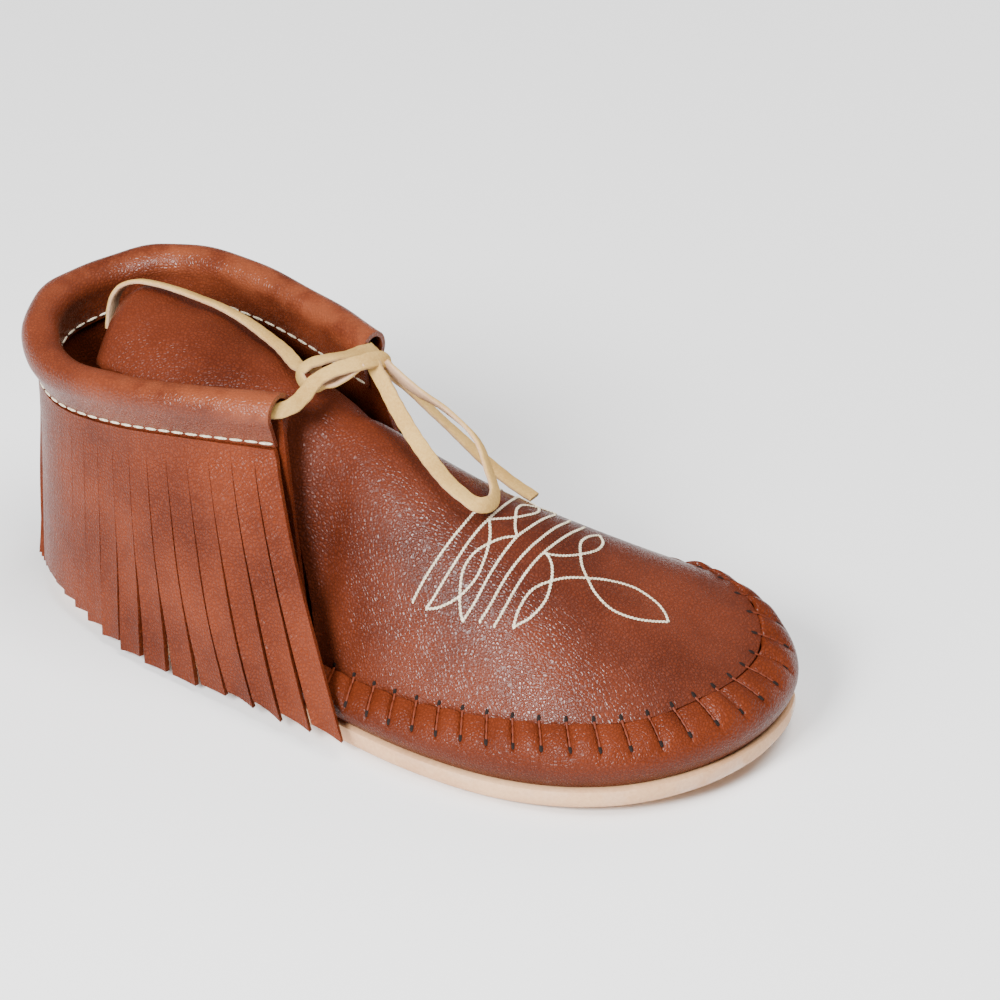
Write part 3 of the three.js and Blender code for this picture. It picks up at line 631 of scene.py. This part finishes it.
def stitch_nodes():
    """Nodes that set one rounded stitch on every point, along and out as the point says."""
    group = bpy.data.node_groups.new("Stitches", "GeometryNodeTree")
    for name, kind in (
        ("Points", "NodeSocketGeometry"),
        ("Thread", "NodeSocketFloat"),
        ("Flatness", "NodeSocketFloat"),
        ("Material", "NodeSocketMaterial"),
    ):
        group.interface.new_socket(name=name, in_out="INPUT", socket_type=kind)
    group.interface.new_socket(name="Stitches", in_out="OUTPUT", socket_type="NodeSocketGeometry")

    def add(kind, inputs=(), **settings):
        made = group.nodes.new(kind)
        for key, value in settings.items():
            setattr(made, key, value)
        for key, value in dict(inputs).items():
            if isinstance(value, bpy.types.NodeSocket):
                group.links.new(value, made.inputs[key])
            else:
                made.inputs[key].default_value = value
        return made

    given = add("NodeGroupInput").outputs
    along = add("GeometryNodeInputNamedAttribute", {"Name": "along"}, data_type="FLOAT_VECTOR")
    out = add("GeometryNodeInputNamedAttribute", {"Name": "out"}, data_type="FLOAT_VECTOR")
    span = add("GeometryNodeInputNamedAttribute", {"Name": "span"}, data_type="FLOAT")
    turned = add("FunctionNodeAlignRotationToVector", {"Vector": along.outputs[0]}, axis="X")
    upright = add(
        "FunctionNodeAlignRotationToVector",
        {"Rotation": turned.outputs[0], "Vector": out.outputs[0]},
        axis="Z",
        pivot_axis="X",
    )
    flat = add("ShaderNodeMath", {0: given["Thread"], 1: given["Flatness"]}, operation="MULTIPLY")
    size = add("ShaderNodeCombineXYZ", {0: span.outputs[0], 1: given["Thread"], 2: flat.outputs[0]})
    bead = add("GeometryNodeMeshUVSphere", {"Segments": 10, "Rings": 8, "Radius": 0.5})
    smooth_bead = add("GeometryNodeSetShadeSmooth", {0: bead.outputs[0]})
    placed = add(
        "GeometryNodeInstanceOnPoints",
        {
            "Points": given["Points"],
            "Instance": smooth_bead.outputs[0],
            "Rotation": upright.outputs[0],
            "Scale": size.outputs[0],
        },
    )
    real = add("GeometryNodeRealizeInstances", {0: placed.outputs[0]})
    dyed = add("GeometryNodeSetMaterial", {0: real.outputs[0], "Material": given["Material"]})
    add("NodeGroupOutput", {0: dyed.outputs[0]})
    return group


STITCHES = stitch_nodes()


def sewn(name, stitches, thread, flatness, material):
    """A piece of stitches, one on each point, with points and spans in metres."""
    points, along, out, span = stitches
    mesh = bpy.data.meshes.new(name)
    mesh.from_pydata([tuple(p) for p in points], [], [])
    for key, kind, field, values in (
        ("along", "FLOAT_VECTOR", "vector", along),
        ("out", "FLOAT_VECTOR", "vector", out),
        ("span", "FLOAT", "value", span),
    ):
        data = mesh.attributes.new(key, kind, "POINT").data
        data.foreach_set(field, np.asarray(values, np.float32).ravel())
    carrier = bpy.data.objects.new(name + "_points", mesh)
    bpy.context.scene.collection.objects.link(carrier)
    modifier = carrier.modifiers.new("Stitches", "NODES")
    modifier.node_group = STITCHES
    given = {"Thread": thread / 1000, "Flatness": flatness, "Material": material}
    for item in STITCHES.interface.items_tree:
        if item.in_out == "INPUT" and item.name in given:
            modifier[item.identifier] = given[item.name]
    carrier.update_tag()
    shown_mesh = bpy.data.meshes.new_from_object(
        carrier.evaluated_get(bpy.context.evaluated_depsgraph_get())
    )
    bpy.data.objects.remove(carrier)
    piece = bpy.data.objects.new(name, shown_mesh)
    bpy.context.scene.collection.objects.link(piece)
    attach(piece, "root")
    return piece


def line_stitches(points, out, pitch, fill, rise=0.0, slant=0.0):
    """Stitches along a line of points: their middles, ways along and out, and spans.

    The line is in metres, and the pitch and the rise out of the surface in millimetres.
    """
    points, out = np.asarray(points, float), np.asarray(out, float)
    run = np.concatenate([[0], np.cumsum(np.linalg.norm(np.diff(points, axis=0), axis=1))])
    count = max(1, round(run[-1] / (pitch / 1000)))
    ends = np.linspace(0, run[-1], count + 1)
    places = np.stack([np.interp(ends, run, points[:, k]) for k in range(3)], -1)
    middles = (ends[1:] + ends[:-1]) / 2
    normals = np.stack([np.interp(middles, run, out[:, k]) for k in range(3)], -1)
    normals /= np.linalg.norm(normals, axis=1, keepdims=True)
    way = np.diff(places, axis=0)
    span = np.linalg.norm(way, axis=1) * fill
    way = way / np.linalg.norm(way, axis=1, keepdims=True)
    way = way + slant * np.cross(normals, way)
    centre = np.stack([np.interp(middles, run, points[:, k]) for k in range(3)], -1)
    return centre + normals * rise / 1000, way, normals, span


def joined(lines):
    """One set of stitches from those of several lines."""
    return [np.concatenate(values) for values in zip(*lines)]


cream, surface, place = coloured("cream_thread", 0.7, sheen=0.2)
twist = place.noise(1500.0, 2.0)
cream_colour = twist.step(0.3, 0.7).mix((0.42, 0.34, 0.22, 1), (0.78, 0.69, 0.52, 1))
feed(surface, "Base Color", cream_colour)
bumped(surface, twist, 0.5, 0.0003)

lines = []
for strand in FIGURE:
    count = len(strand["x"])
    table = {"step": tuple(range(count)), **strand}
    steps = np.linspace(0, count - 1, FIGURE_STEPS * count)
    x, half = smooth(table, "x", steps), smooth(table, "half", steps)
    middle = smooth(RIDGE, "y", x) + smooth(FIGURE_MIDDLE, "y", x)
    for side in (LATERAL, MEDIAL):
        found = [on_apron(a, b) for a, b in zip(x, middle + side * half)]
        points, normals = [p for p, _ in found], [n for _, n in found]
        lines.append(
            line_stitches(points, normals, CREAM_STITCH, CREAM_FILL, CREAM_RISE, CREAM_SLANT)
        )
sewn("toe_stitching", joined(lines), CREAM_THREAD, CREAM_FLATNESS, cream)

# Apron seam: brown thread that gathers the wall up to the apron, drawn tight in each valley
# between two pillows. Each hole on the apron and slit lower down on the wall is a flat dark mark:
# painted shade of the hole.
SEAM_THREAD, SEAM_FLATNESS = 0.8, 0.7
SEAM_STITCH, SEAM_FILL = 3.0, 1.25
# How far below the seam the points of a thread lie. The first then goes up to the apron's hole.
SEAM_DROPS = (0.0, 0.0, 1.4, 2.8, 4.4)
SEAM_RISE = 0.15
HOLE_RISE = 0.6
HOLE_LENGTH, HOLE_WIDTH, HOLE_FLATNESS = 2.6, 1.3, 0.5
brown, surface, _ = coloured("brown_thread", 0.6)
surface.inputs["Base Color"].default_value = (0.12, 0.02, 0.0055, 1)
# Painted shade: the holes are flat dark marks on the leather, standing in for the shade inside each
# hole.
hole_shade, surface, _ = coloured("stitch_hole_painted_shade", 0.9)
surface.inputs["Base Color"].default_value = (0.006, 0.002, 0.001, 1)
lines, hole_shade_marks = [], []
for side in (LATERAL, MEDIAL):
    turns = seam_turns(side, PUCKERS)[1 : None if side < 0 else -1]
    ribs = Ribs(turns[:, None], side)
    drop = np.array(SEAM_DROPS)[None, :]
    z = ribs.seam_z - drop
    sunk = PILLOW * VALLEY_SINK * fade(-drop, -PILLOW_REACH, -PILLOW_TOP)
    inset = ribs.inset(np.minimum(z, ribs.seam_z)) + sunk - SEAM_RISE
    z[:, :1] = ribs.seam_z + HOLE_RISE
    points = to_row(ribs.at(inset, z))
    for row, foot in enumerate(to_row(ribs.at(0.0, ribs.seam_z + HOLE_RISE))[:, 0]):
        inward = Vector((ribs.in_x[row, 0], ribs.in_y[row, 0], 0))
        points[row, 0] = apron_tree.ray_cast(Vector(foot), inward)[0]
    out = ribs.at(inset - 1, z + 0.5) - ribs.at(inset, z)
    for line, way in zip(points, out):
        lines.append(line_stitches(line, way, SEAM_STITCH, SEAM_FILL))
        hole_shade_marks.append((line[0], line[1] - line[0], way[0], HOLE_LENGTH / 1000))
        hole_shade_marks.append((line[-1], line[-1] - line[-2], way[-1], HOLE_LENGTH / 1000))
sewn("seam_stitches", joined(lines), SEAM_THREAD, SEAM_FLATNESS, brown)
sewn("seam_hole_painted_shades", zip(*hole_shade_marks), HOLE_WIDTH, HOLE_FLATNESS, hole_shade)

# Cuff: the collar's hide rolled over the quarter's top edge, hollow in front where the lace
# comes out. It is worn pale along the roll and sewn down with one cream line on each face.
CUFF_LEATHER = 1.6
ROLL_RADIUS = 6.0
ROLL_LEAN, ROLL_SINK = 2.0, 1.0
CUFF_DROP = 12.0
CUFF_ROWS = 180
LEG_STEPS, ROLL_STEPS = 8, 20
ROLL_PAST_HALF = 0.35
CUFF_GAP = 0.45
LEG_STANDOFF = LEATHER / 2 + CUFF_GAP
# The roll is a little uneven along its length, as hand-turned leather is: three waves added up.
UNEVEN = {"height": (0.35, 0.25, 0.2), "turn": (41, 67, 23), "start": (0, 1, 2)}
UNEVEN_FROM, UNEVEN_FULL = -8.0, -2.0
UNEVEN_OUT, UNEVEN_UP = 0.06, 0.35
STITCH_DROP = 10.4
CUFF_STITCH, CUFF_FILL = 5.0, 0.9
CUFF_THREAD, CUFF_FLATNESS = 0.8, 0.8
CUFF_STITCH_RISE, TACK_RISE = 0.25, 0.4
cuff_hide = leather(
    "cuff_hide",
    (0.052, 0.0094, 0.0038, 1),
    (0.172, 0.038, 0.0148, 1),
    worn=(0.25, 0.067, 0.027, 1),
    worn_from=0.09,
    gloss=0.24,
    grain=0.8,
)


def cuff_face(radius, leg):
    """One face of the cuff's section: up a leg, over the roll and down a leg, as (out, up)."""
    angle = np.linspace(-ROLL_PAST_HALF, math.pi + ROLL_PAST_HALF, ROLL_STEPS)
    roll = np.stack([ROLL_LEAN + radius * np.cos(angle), radius * np.sin(angle) - ROLL_SINK], -1)
    rise = np.linspace(0, 1, LEG_STEPS, endpoint=False)[:, None]
    outer = np.array([leg, -CUFF_DROP]) * (1 - rise) + roll[0] * rise
    inner = np.array([-leg, -CUFF_DROP]) * (1 - rise) + roll[-1] * rise
    return np.concatenate([outer, roll, inner[::-1]])


def beside_collar(ribs, out, up):
    """Places by the quarter's top edge, out from it and up along it."""
    slope = (ribs.collar_inset - ribs.seam_inset) / (ribs.collar_z - ribs.seam_z)
    scale = 1 / np.hypot(1, slope)
    inset = ribs.collar_inset + LEATHER / 2 + (up * slope - out) * scale
    return ribs.at(inset, ribs.collar_z + (up + out * slope) * scale)


round_collar = np.linspace(-1, 1, CUFF_ROWS)[:, None]
collar_ribs = Ribs(
    turn_at(QUARTER_TOP_X) * np.abs(round_collar), np.where(round_collar < 0, LATERAL, MEDIAL)
)
outer_face = cuff_face(ROLL_RADIUS, LEG_STANDOFF + CUFF_LEATHER)
inner_face = cuff_face(ROLL_RADIUS - CUFF_LEATHER, LEG_STANDOFF)
section = np.concatenate([outer_face, inner_face[::-1]])
run = np.linspace(0, 1, CUFF_ROWS)[:, None]
waves = zip(UNEVEN["height"], UNEVEN["turn"], UNEVEN["start"])
uneven = sum(height * np.sin(run * turn + start) for height, turn, start in waves)
high = fade(section[:, 1], UNEVEN_FROM, UNEVEN_FULL)[None, :]
out = section[:, 0][None, :] * (1 + UNEVEN_OUT * uneven * high)
up = section[:, 1][None, :] + UNEVEN_UP * uneven * high
rows = beside_collar(collar_ribs, out, up)
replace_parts(lofted("cuff_hide", rows, cuff_hide, caps=True), "cuff")

lines = []
for outward, leg in ((1, outer_face[:LEG_STEPS]), (-1, outer_face[: -LEG_STEPS - 1 : -1])):
    leg_out = np.interp(-STITCH_DROP, leg[:, 1], leg[:, 0]) + outward * CUFF_STITCH_RISE
    line = beside_collar(collar_ribs, leg_out, -STITCH_DROP)[:, 0]
    behind = beside_collar(collar_ribs, leg_out - outward, -STITCH_DROP)[:, 0]
    lines.append(line_stitches(to_row(line), line - behind, CUFF_STITCH, CUFF_FILL))
# The outer line ends in front on both sides with a second stitch on top of its last one.
for end in (slice(0, 1), slice(-1, None)):
    centre, way, normal, span = (values[end] for values in lines[0])
    lines.append((centre + normal * TACK_RISE / 1000, way, normal, span))
sewn("cuff_stitches", joined(lines), CUFF_THREAD, CUFF_FLATNESS, cream)

# Fringe: the hide below the cuff's stitching, slit into strips that hang almost to the floor.
# It is the cuff's own leather, cut with a knife, so that each strip swings and curls by itself.
STRIPS = 44
FRINGE_LEATHER = 1.6
FRINGE_FOOT_X = 145.0
FRINGE_FOOT_OUT, FRINGE_HEEL_OUT = 4.4, 1.5
FRINGE_FOOT_Z, FRINGE_HEEL_Z = 5.0, 7.0
WHOLE_ROWS, FRINGE_ROWS = 4, 30
STRIP_COLUMNS = 5
LEAN_POWER, FLARE_POWER = 3, 0.8
FRINGE_ROUND = 300.0
SLIT_START, SLIT_STRAY = 0.075, 0.035
SLIT_GAP, TAPER, LOOSE_TAPER = 0.08, 0.05, 0.4
SWING, SWAY, SWAY_TURN = 2.6, 0.7, 3
LIFT, RIPPLE, RIPPLE_TURN, STIFF_LIFT = 3.0, 0.6, 7, 0.25
CURL = 0.9
LENGTH_STRAY, FOOT_SKEW = 3.0, 1.6
# How freely the strips hang, round from the lateral front past the heel to the medial front.
LOOSENESS = {
    "share": (0, 0.08, 0.16, 0.24, 0.36, 0.43, 0.55, 0.7, 0.9, 1),
    "loose": (0.5, 1.0, 0.7, 0.12, 0.12, 0.9, 0.9, 0.3, 0.8, 0.6),
}
fringe_hide = leather(
    "fringe_hide", (0.048, 0.0082, 0.003, 1), (0.172, 0.035, 0.0125, 1), gloss=0.1
)


def stray(strip, seed):
    """A repeatable value from -1 to 1 for a strip, so that no two hang alike."""
    return math.sin(strip * 12.9898 + seed * 78.233)


def skirt(share, fall, lift):
    """Places of the skirt's back: share 0 to 1 round from the lateral front, fall 0 to 1 down."""
    signed = 2 * share - 1
    side = np.where(signed < 0, LATERAL, MEDIAL)
    top_turn = turn_at(QUARTER_TOP_X) * np.abs(signed)
    lean = turn_at(FRINGE_FOOT_X) - turn_at(QUARTER_TOP_X)
    foot_turn = top_turn + lean * np.abs(signed) ** LEAN_POWER
    ribs = Ribs(top_turn + (foot_turn - top_turn) * fall, side)
    top = Ribs(top_turn, side)
    top_z = top.collar_z - CUFF_DROP
    foot_z = FRINGE_HEEL_Z + (FRINGE_FOOT_Z - FRINGE_HEEL_Z) * np.abs(signed) + floor_lift(ribs.x)
    z = top_z + (foot_z - top_z) * fall
    clear = LEG_STANDOFF + lift
    start = top.inset(top_z) - clear + LEATHER / 2
    foot_out = FRINGE_HEEL_OUT + (FRINGE_FOOT_OUT - FRINGE_HEEL_OUT) * np.abs(signed) + lift
    hung = start + (-foot_out - start) * fall**FLARE_POWER
    return ribs, np.minimum(hung, ribs.inset(np.maximum(z, ribs.belly)) - clear), z


points, faces, made = [], [], 0
across = np.linspace(0, 1, STRIP_COLUMNS)[None, :]
for strip in range(STRIPS):
    loose = float(smooth(LOOSENESS, "loose", (strip + 0.5) / STRIPS))
    slit = SLIT_START + SLIT_STRAY * stray(strip, 4)
    whole, cut = np.linspace(0, slit, WHOLE_ROWS), np.linspace(slit, 1, FRINGE_ROWS)[1:]
    fall = np.concatenate([whole, cut])[:, None]
    free = np.clip((fall - slit) / (1 - slit), 0, 1)
    narrow = np.where(free > 0, SLIT_GAP + (TAPER + LOOSE_TAPER * loose) * free, 0.0)
    sway = SWAY * stray(strip, 5) * np.sin(SWAY_TURN * free)
    swing = loose * (SWING * stray(strip, 1) * free**2 + sway)
    moved = (narrow * (1 - 2 * across) + swing) / FRINGE_ROUND
    share = np.clip((strip + across) / STRIPS + moved, 0, 1)
    lift = LIFT * (0.5 + 0.5 * stray(strip, 2)) + RIPPLE * np.sin(RIPPLE_TURN * free + strip)
    lift = (loose * lift + STIFF_LIFT * (1 + stray(strip, 8))) * free
    curl = np.abs(CURL * loose * stray(strip, 6)) * free * (across - 0.5) ** 2 * 4
    ribs, inset, z = skirt(share, np.broadcast_to(fall, share.shape), lift + 0 * share)
    z = z + LENGTH_STRAY * stray(strip, 3) * free
    z = z + FOOT_SKEW * stray(strip, 7) * free**3 * (across - 0.5)
    back = ribs.at(inset - curl, z)
    front = ribs.at(inset - FRINGE_LEATHER - curl, z)
    loops = np.concatenate([front, back[:, ::-1]], axis=1)
    count, wide = loops.shape[:2]
    index = np.arange(count * wide).reshape(count, wide) + made
    faces += bands(index) + [index[0].tolist(), index[-1][::-1].tolist()]
    points.append(loops.reshape(-1, 3))
    made += count * wide
points = to_row(np.concatenate(points))
fringe = shown("fringe_hide", points, faces, fringe_hide, sharp=50)
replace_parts(fringe, "fringe")

# Lace: a flat pale suede thong, about 5 mm wide, drawn out of the cuff's two mouths, tied over
# the tongue with one loop and two ends. Its smooth side is paler and pinker than its nap.
LACE_WIDTH = 4.8
LACE_THICKNESS = 1.4
LACE_STEPS = 110
RAGGED, RAGGED_TURN = 0.03, 1.3
# The lace's section, in parts of its width and its thickness: a flat strip with cut corners.
LACE_SECTION = np.array(
    [
        *((-0.5, -0.32), (-0.42, -0.5), (0.42, -0.5), (0.5, -0.32)),
        *((0.5, 0.32), (0.42, 0.5), (-0.42, 0.5), (-0.5, 0.32)),
    ]
)
# Ways that the lace's flat side can face.
UPWARD, DOWNWARD, RAISED, TILTED = (0, 0, 1), (0, 0, -1), (0, -0.5, 1), (0, 0.35, 1)
FORWARD, BACKWARD = (1, 0, 0.4), (-1, 0, 0.2)
SIDEWARD, LATERALWARD, MEDIALWARD = (-0.5, -1, 0), (0, -1, 0.3), (0, 1, 0.3)
# Each length of lace: the ways it faces, in even steps, and the places that it passes.
LACES = {
    "lace_lateral": {
        "faces": (FORWARD, RAISED, FORWARD),
        "x": (100, 104.6, 107.4, 108, 108.4, 111.6, 115.8, 117.6, 118.2, 117),
        "y": (-37.6, -35.6, -31.6, -26.5, -20.5, -14.5, -8, -1.4, 1.8, 1.4),
        "z": (94.2, 94.6, 95.4, 96.8, 99.4, 101.4, 102, 101, 98.8, 96.6),
        "far_end": "knot",
        "node": "lace_knot",
    },
    "lace_medial": {
        "faces": (FORWARD, UPWARD, SIDEWARD, DOWNWARD),
        "x": (100, 104.4, 107, 107.2, 107, 105, 102, 101.4, 104.6, 108.4, 112.4, 115.6),
        "y": (17, 15.2, 11.6, 6.2, -2.6, -9.6, -16, -19, -20, -17.6, -11.6, -7),
        "z": (93.4, 93.8, 95.2, 97.2, 99.6, 101, 100.6, 98.4, 96.2, 95.8, 98, 101.6),
        "far_end": "knot",
        "node": "lace_knot",
    },
    "lace_bow": {
        "faces": (LATERALWARD, FORWARD, MEDIALWARD),
        "x": (
            *(116.6, 118.4, 121.4, 128.2, 137.8, 151, 158.5, 162.7),
            *(164.5, 162.6, 157.7, 148.7, 137.9, 129.6, 120.6, 118.2),
        ),
        "y": (
            *(-2.6, -3.2, -4.4, -7.6, -10.6, -15, -16, -15.5),
            *(-11.1, -6.1, -1.3, 4.8, 4.8, 1.5, 1.2, 0.6),
        ),
        "z": (
            *(99.6, 97.6, 95.6, 90.6, 83, 76.2, 73.2, 71.6),
            *(70.8, 71.6, 74, 80.4, 87, 92.4, 97, 99.2),
        ),
        "far_end": "knot",
        "node": "lace_loop",
    },
    "lace_front": {
        "faces": (UPWARD, UPWARD),
        "x": (117.4, 120.1, 123.7, 130, 137, 145, 153.7, 162.4),
        "y": (1.8, 3.6, 6, 9.6, 13.4, 15.6, 16.2, 16.2),
        "z": (96.6, 93.2, 89.4, 82, 74, 67, 62.3, 59.4),
        "far_end": "bare",
        "node": "lace_end_front",
    },
    "lace_back": {
        "faces": (UPWARD, TILTED, BACKWARD),
        "x": (
            *(103.4, 99.6, 94.5, 84.5, 76.9, 67.5, 57.8, 50),
            *(43.5, 37, 30, 25, 22.4, 21.4, 21),
        ),
        "y": (
            *(-13.6, -12.6, -10, -4, -1.4, 0.6, 0.8, -0.6),
            *(-1.6, -2.8, -4, -5, -5.6, -6, -6.4),
        ),
        "z": (
            *(98.6, 97.2, 95.4, 95.8, 96.8, 98.6, 100.6, 102.2),
            *(103.2, 103.8, 103.4, 100.8, 96.8, 92.4, 86.4),
        ),
        "far_end": "bare",
        "node": "lace_end_back",
    },
}
suede, surface, place = coloured("suede", 0.9)
surface.inputs["Specular IOR Level"].default_value = 0.2
nap = place.noise(1300.0, 4.0, 0.65)
tint = (nap * 0.5 + place.noise(60.0, 2.0) * 0.5).step(0.3, 0.7)
yellow = tint.mix((0.38, 0.215, 0.06, 1), (0.54, 0.345, 0.115, 1))
smooth_side = tint.mix((0.43, 0.258, 0.148, 1), (0.55, 0.358, 0.22, 1))
side_of = place.node("ShaderNodeAttribute", output="Fac", attribute_name="smooth_side")
feed(surface, "Base Color", side_of.mix(yellow, smooth_side))
bumped(surface, nap, 0.5, 0.0004)


def thong(name, route):
    """One length of lace, swept flat along its route."""
    points = np.stack([route[k] for k in "xyz"], -1).astype(float)
    chord = np.concatenate([[0], np.cumsum(np.linalg.norm(np.diff(points, axis=0), axis=1))])
    table = {"run": tuple(chord), "x": route["x"], "y": route["y"], "z": route["z"]}
    steps = np.linspace(0, chord[-1], LACE_STEPS)
    line = np.stack([smooth(table, k, steps) for k in "xyz"], -1)
    along = np.gradient(line, axis=0)
    along /= np.linalg.norm(along, axis=1, keepdims=True)
    face_steps = np.linspace(0, len(route["faces"]) - 1, LACE_STEPS)
    faces = np.array(route["faces"], float)
    face = np.stack([np.interp(face_steps, range(len(faces)), faces[:, k]) for k in range(3)], -1)
    across = np.cross(along, face)
    across /= np.linalg.norm(across, axis=1, keepdims=True)
    flat = np.cross(across, along)
    wide, thick = LACE_SECTION[None, :, :1] * LACE_WIDTH, LACE_SECTION[None, :, 1:] * LACE_THICKNESS
    ragged = 1 + RAGGED * np.sin(steps * RAGGED_TURN)[:, None, None]
    rows = line[:, None] + across[:, None] * wide * ragged + flat[:, None] * thick
    piece = lofted(name, rows, suede, caps=True, sharp=60)
    marks = piece.data.attributes.new("smooth_side", "FLOAT", "POINT").data
    marks.foreach_set("value", np.tile(LACE_SECTION[:, 1] < 0, LACE_STEPS).astype(np.float32))
    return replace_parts(piece, route["node"])


for name, route in LACES.items():
    thong(name, route)

# Floor, light and camera: a pale studio floor, a soft key light over the camera's left shoulder
# that alone shows in the leather's gloss, three fills, and a view from above the little-toe side.
FLOOR_HALF = 6.0
SKY_STRENGTH = 0.22
SENSOR = 36.0
AZIMUTH, ELEVATION = math.radians(34), math.radians(29.5)
DISTANCE = 1.5
PIXELS_A_METRE = 3290.0
FRAME_PIXELS = 1000.0
TARGET = to_row((125.0, 0.0, 45.0))
TARGET_PIXEL = (401.4, 526.8)

paper, surface, _ = coloured("floor_paper", 0.9)
surface.inputs["Base Color"].default_value = (0.9, 0.9, 0.9, 1)
floor_mesh = bpy.data.meshes.new("floor")
signs = ((-1, -1), (1, -1), (1, 1), (-1, 1))
corners = [(x * FLOOR_HALF, y * FLOOR_HALF, 0) for x, y in signs]
floor_mesh.from_pydata(corners, [], [(0, 1, 2, 3)])
floor_mesh.materials.append(paper)
floor = bpy.data.objects.new("floor", floor_mesh)
bpy.context.scene.collection.objects.link(floor)
floor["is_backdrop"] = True


def lamp(name, place, power, size, seen_in_gloss):
    """A square light that points at the shoe."""
    data = bpy.data.lights.new(name, "AREA")
    data.energy, data.size = power, size
    light = bpy.data.objects.new(name, data)
    light.location = place
    light.rotation_euler = (Vector(TARGET) - Vector(place)).to_track_quat("-Z", "Y").to_euler()
    light.visible_glossy = seen_in_gloss
    bpy.context.scene.collection.objects.link(light)


lamp("key", (0.05, -1.35, 1.0), power=58, size=0.5, seen_in_gloss=True)
lamp("fill", (-0.5, -1.7, 0.8), power=24, size=0.9, seen_in_gloss=False)
lamp("top", (0.5, -0.1, 1.7), power=40, size=1.1, seen_in_gloss=False)
lamp("rear", (0.2, 1.5, 0.9), power=16, size=0.9, seen_in_gloss=False)

world = bpy.data.worlds.new("studio")
world.use_nodes = True
world.node_tree.nodes["Background"].inputs["Color"].default_value = (1, 1, 1, 1)
world.node_tree.nodes["Background"].inputs["Strength"].default_value = SKY_STRENGTH
bpy.context.scene.world = world

view_data = bpy.data.cameras.new("camera")
view_data.sensor_width = SENSOR
view_data.lens = SENSOR * PIXELS_A_METRE * DISTANCE / FRAME_PIXELS
view_data.shift_x = 0.5 - TARGET_PIXEL[0] / FRAME_PIXELS
view_data.shift_y = TARGET_PIXEL[1] / FRAME_PIXELS - 0.5
camera = bpy.data.objects.new("camera", view_data)
back = Vector(
    (
        math.sin(AZIMUTH) * math.cos(ELEVATION),
        -math.cos(AZIMUTH) * math.cos(ELEVATION),
        math.sin(ELEVATION),
    )
)
camera.location = Vector(TARGET) + back * DISTANCE
camera.rotation_euler = back.to_track_quat("Z", "Y").to_euler()
bpy.context.scene.collection.objects.link(camera)
bpy.context.scene.camera = camera

low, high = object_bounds()
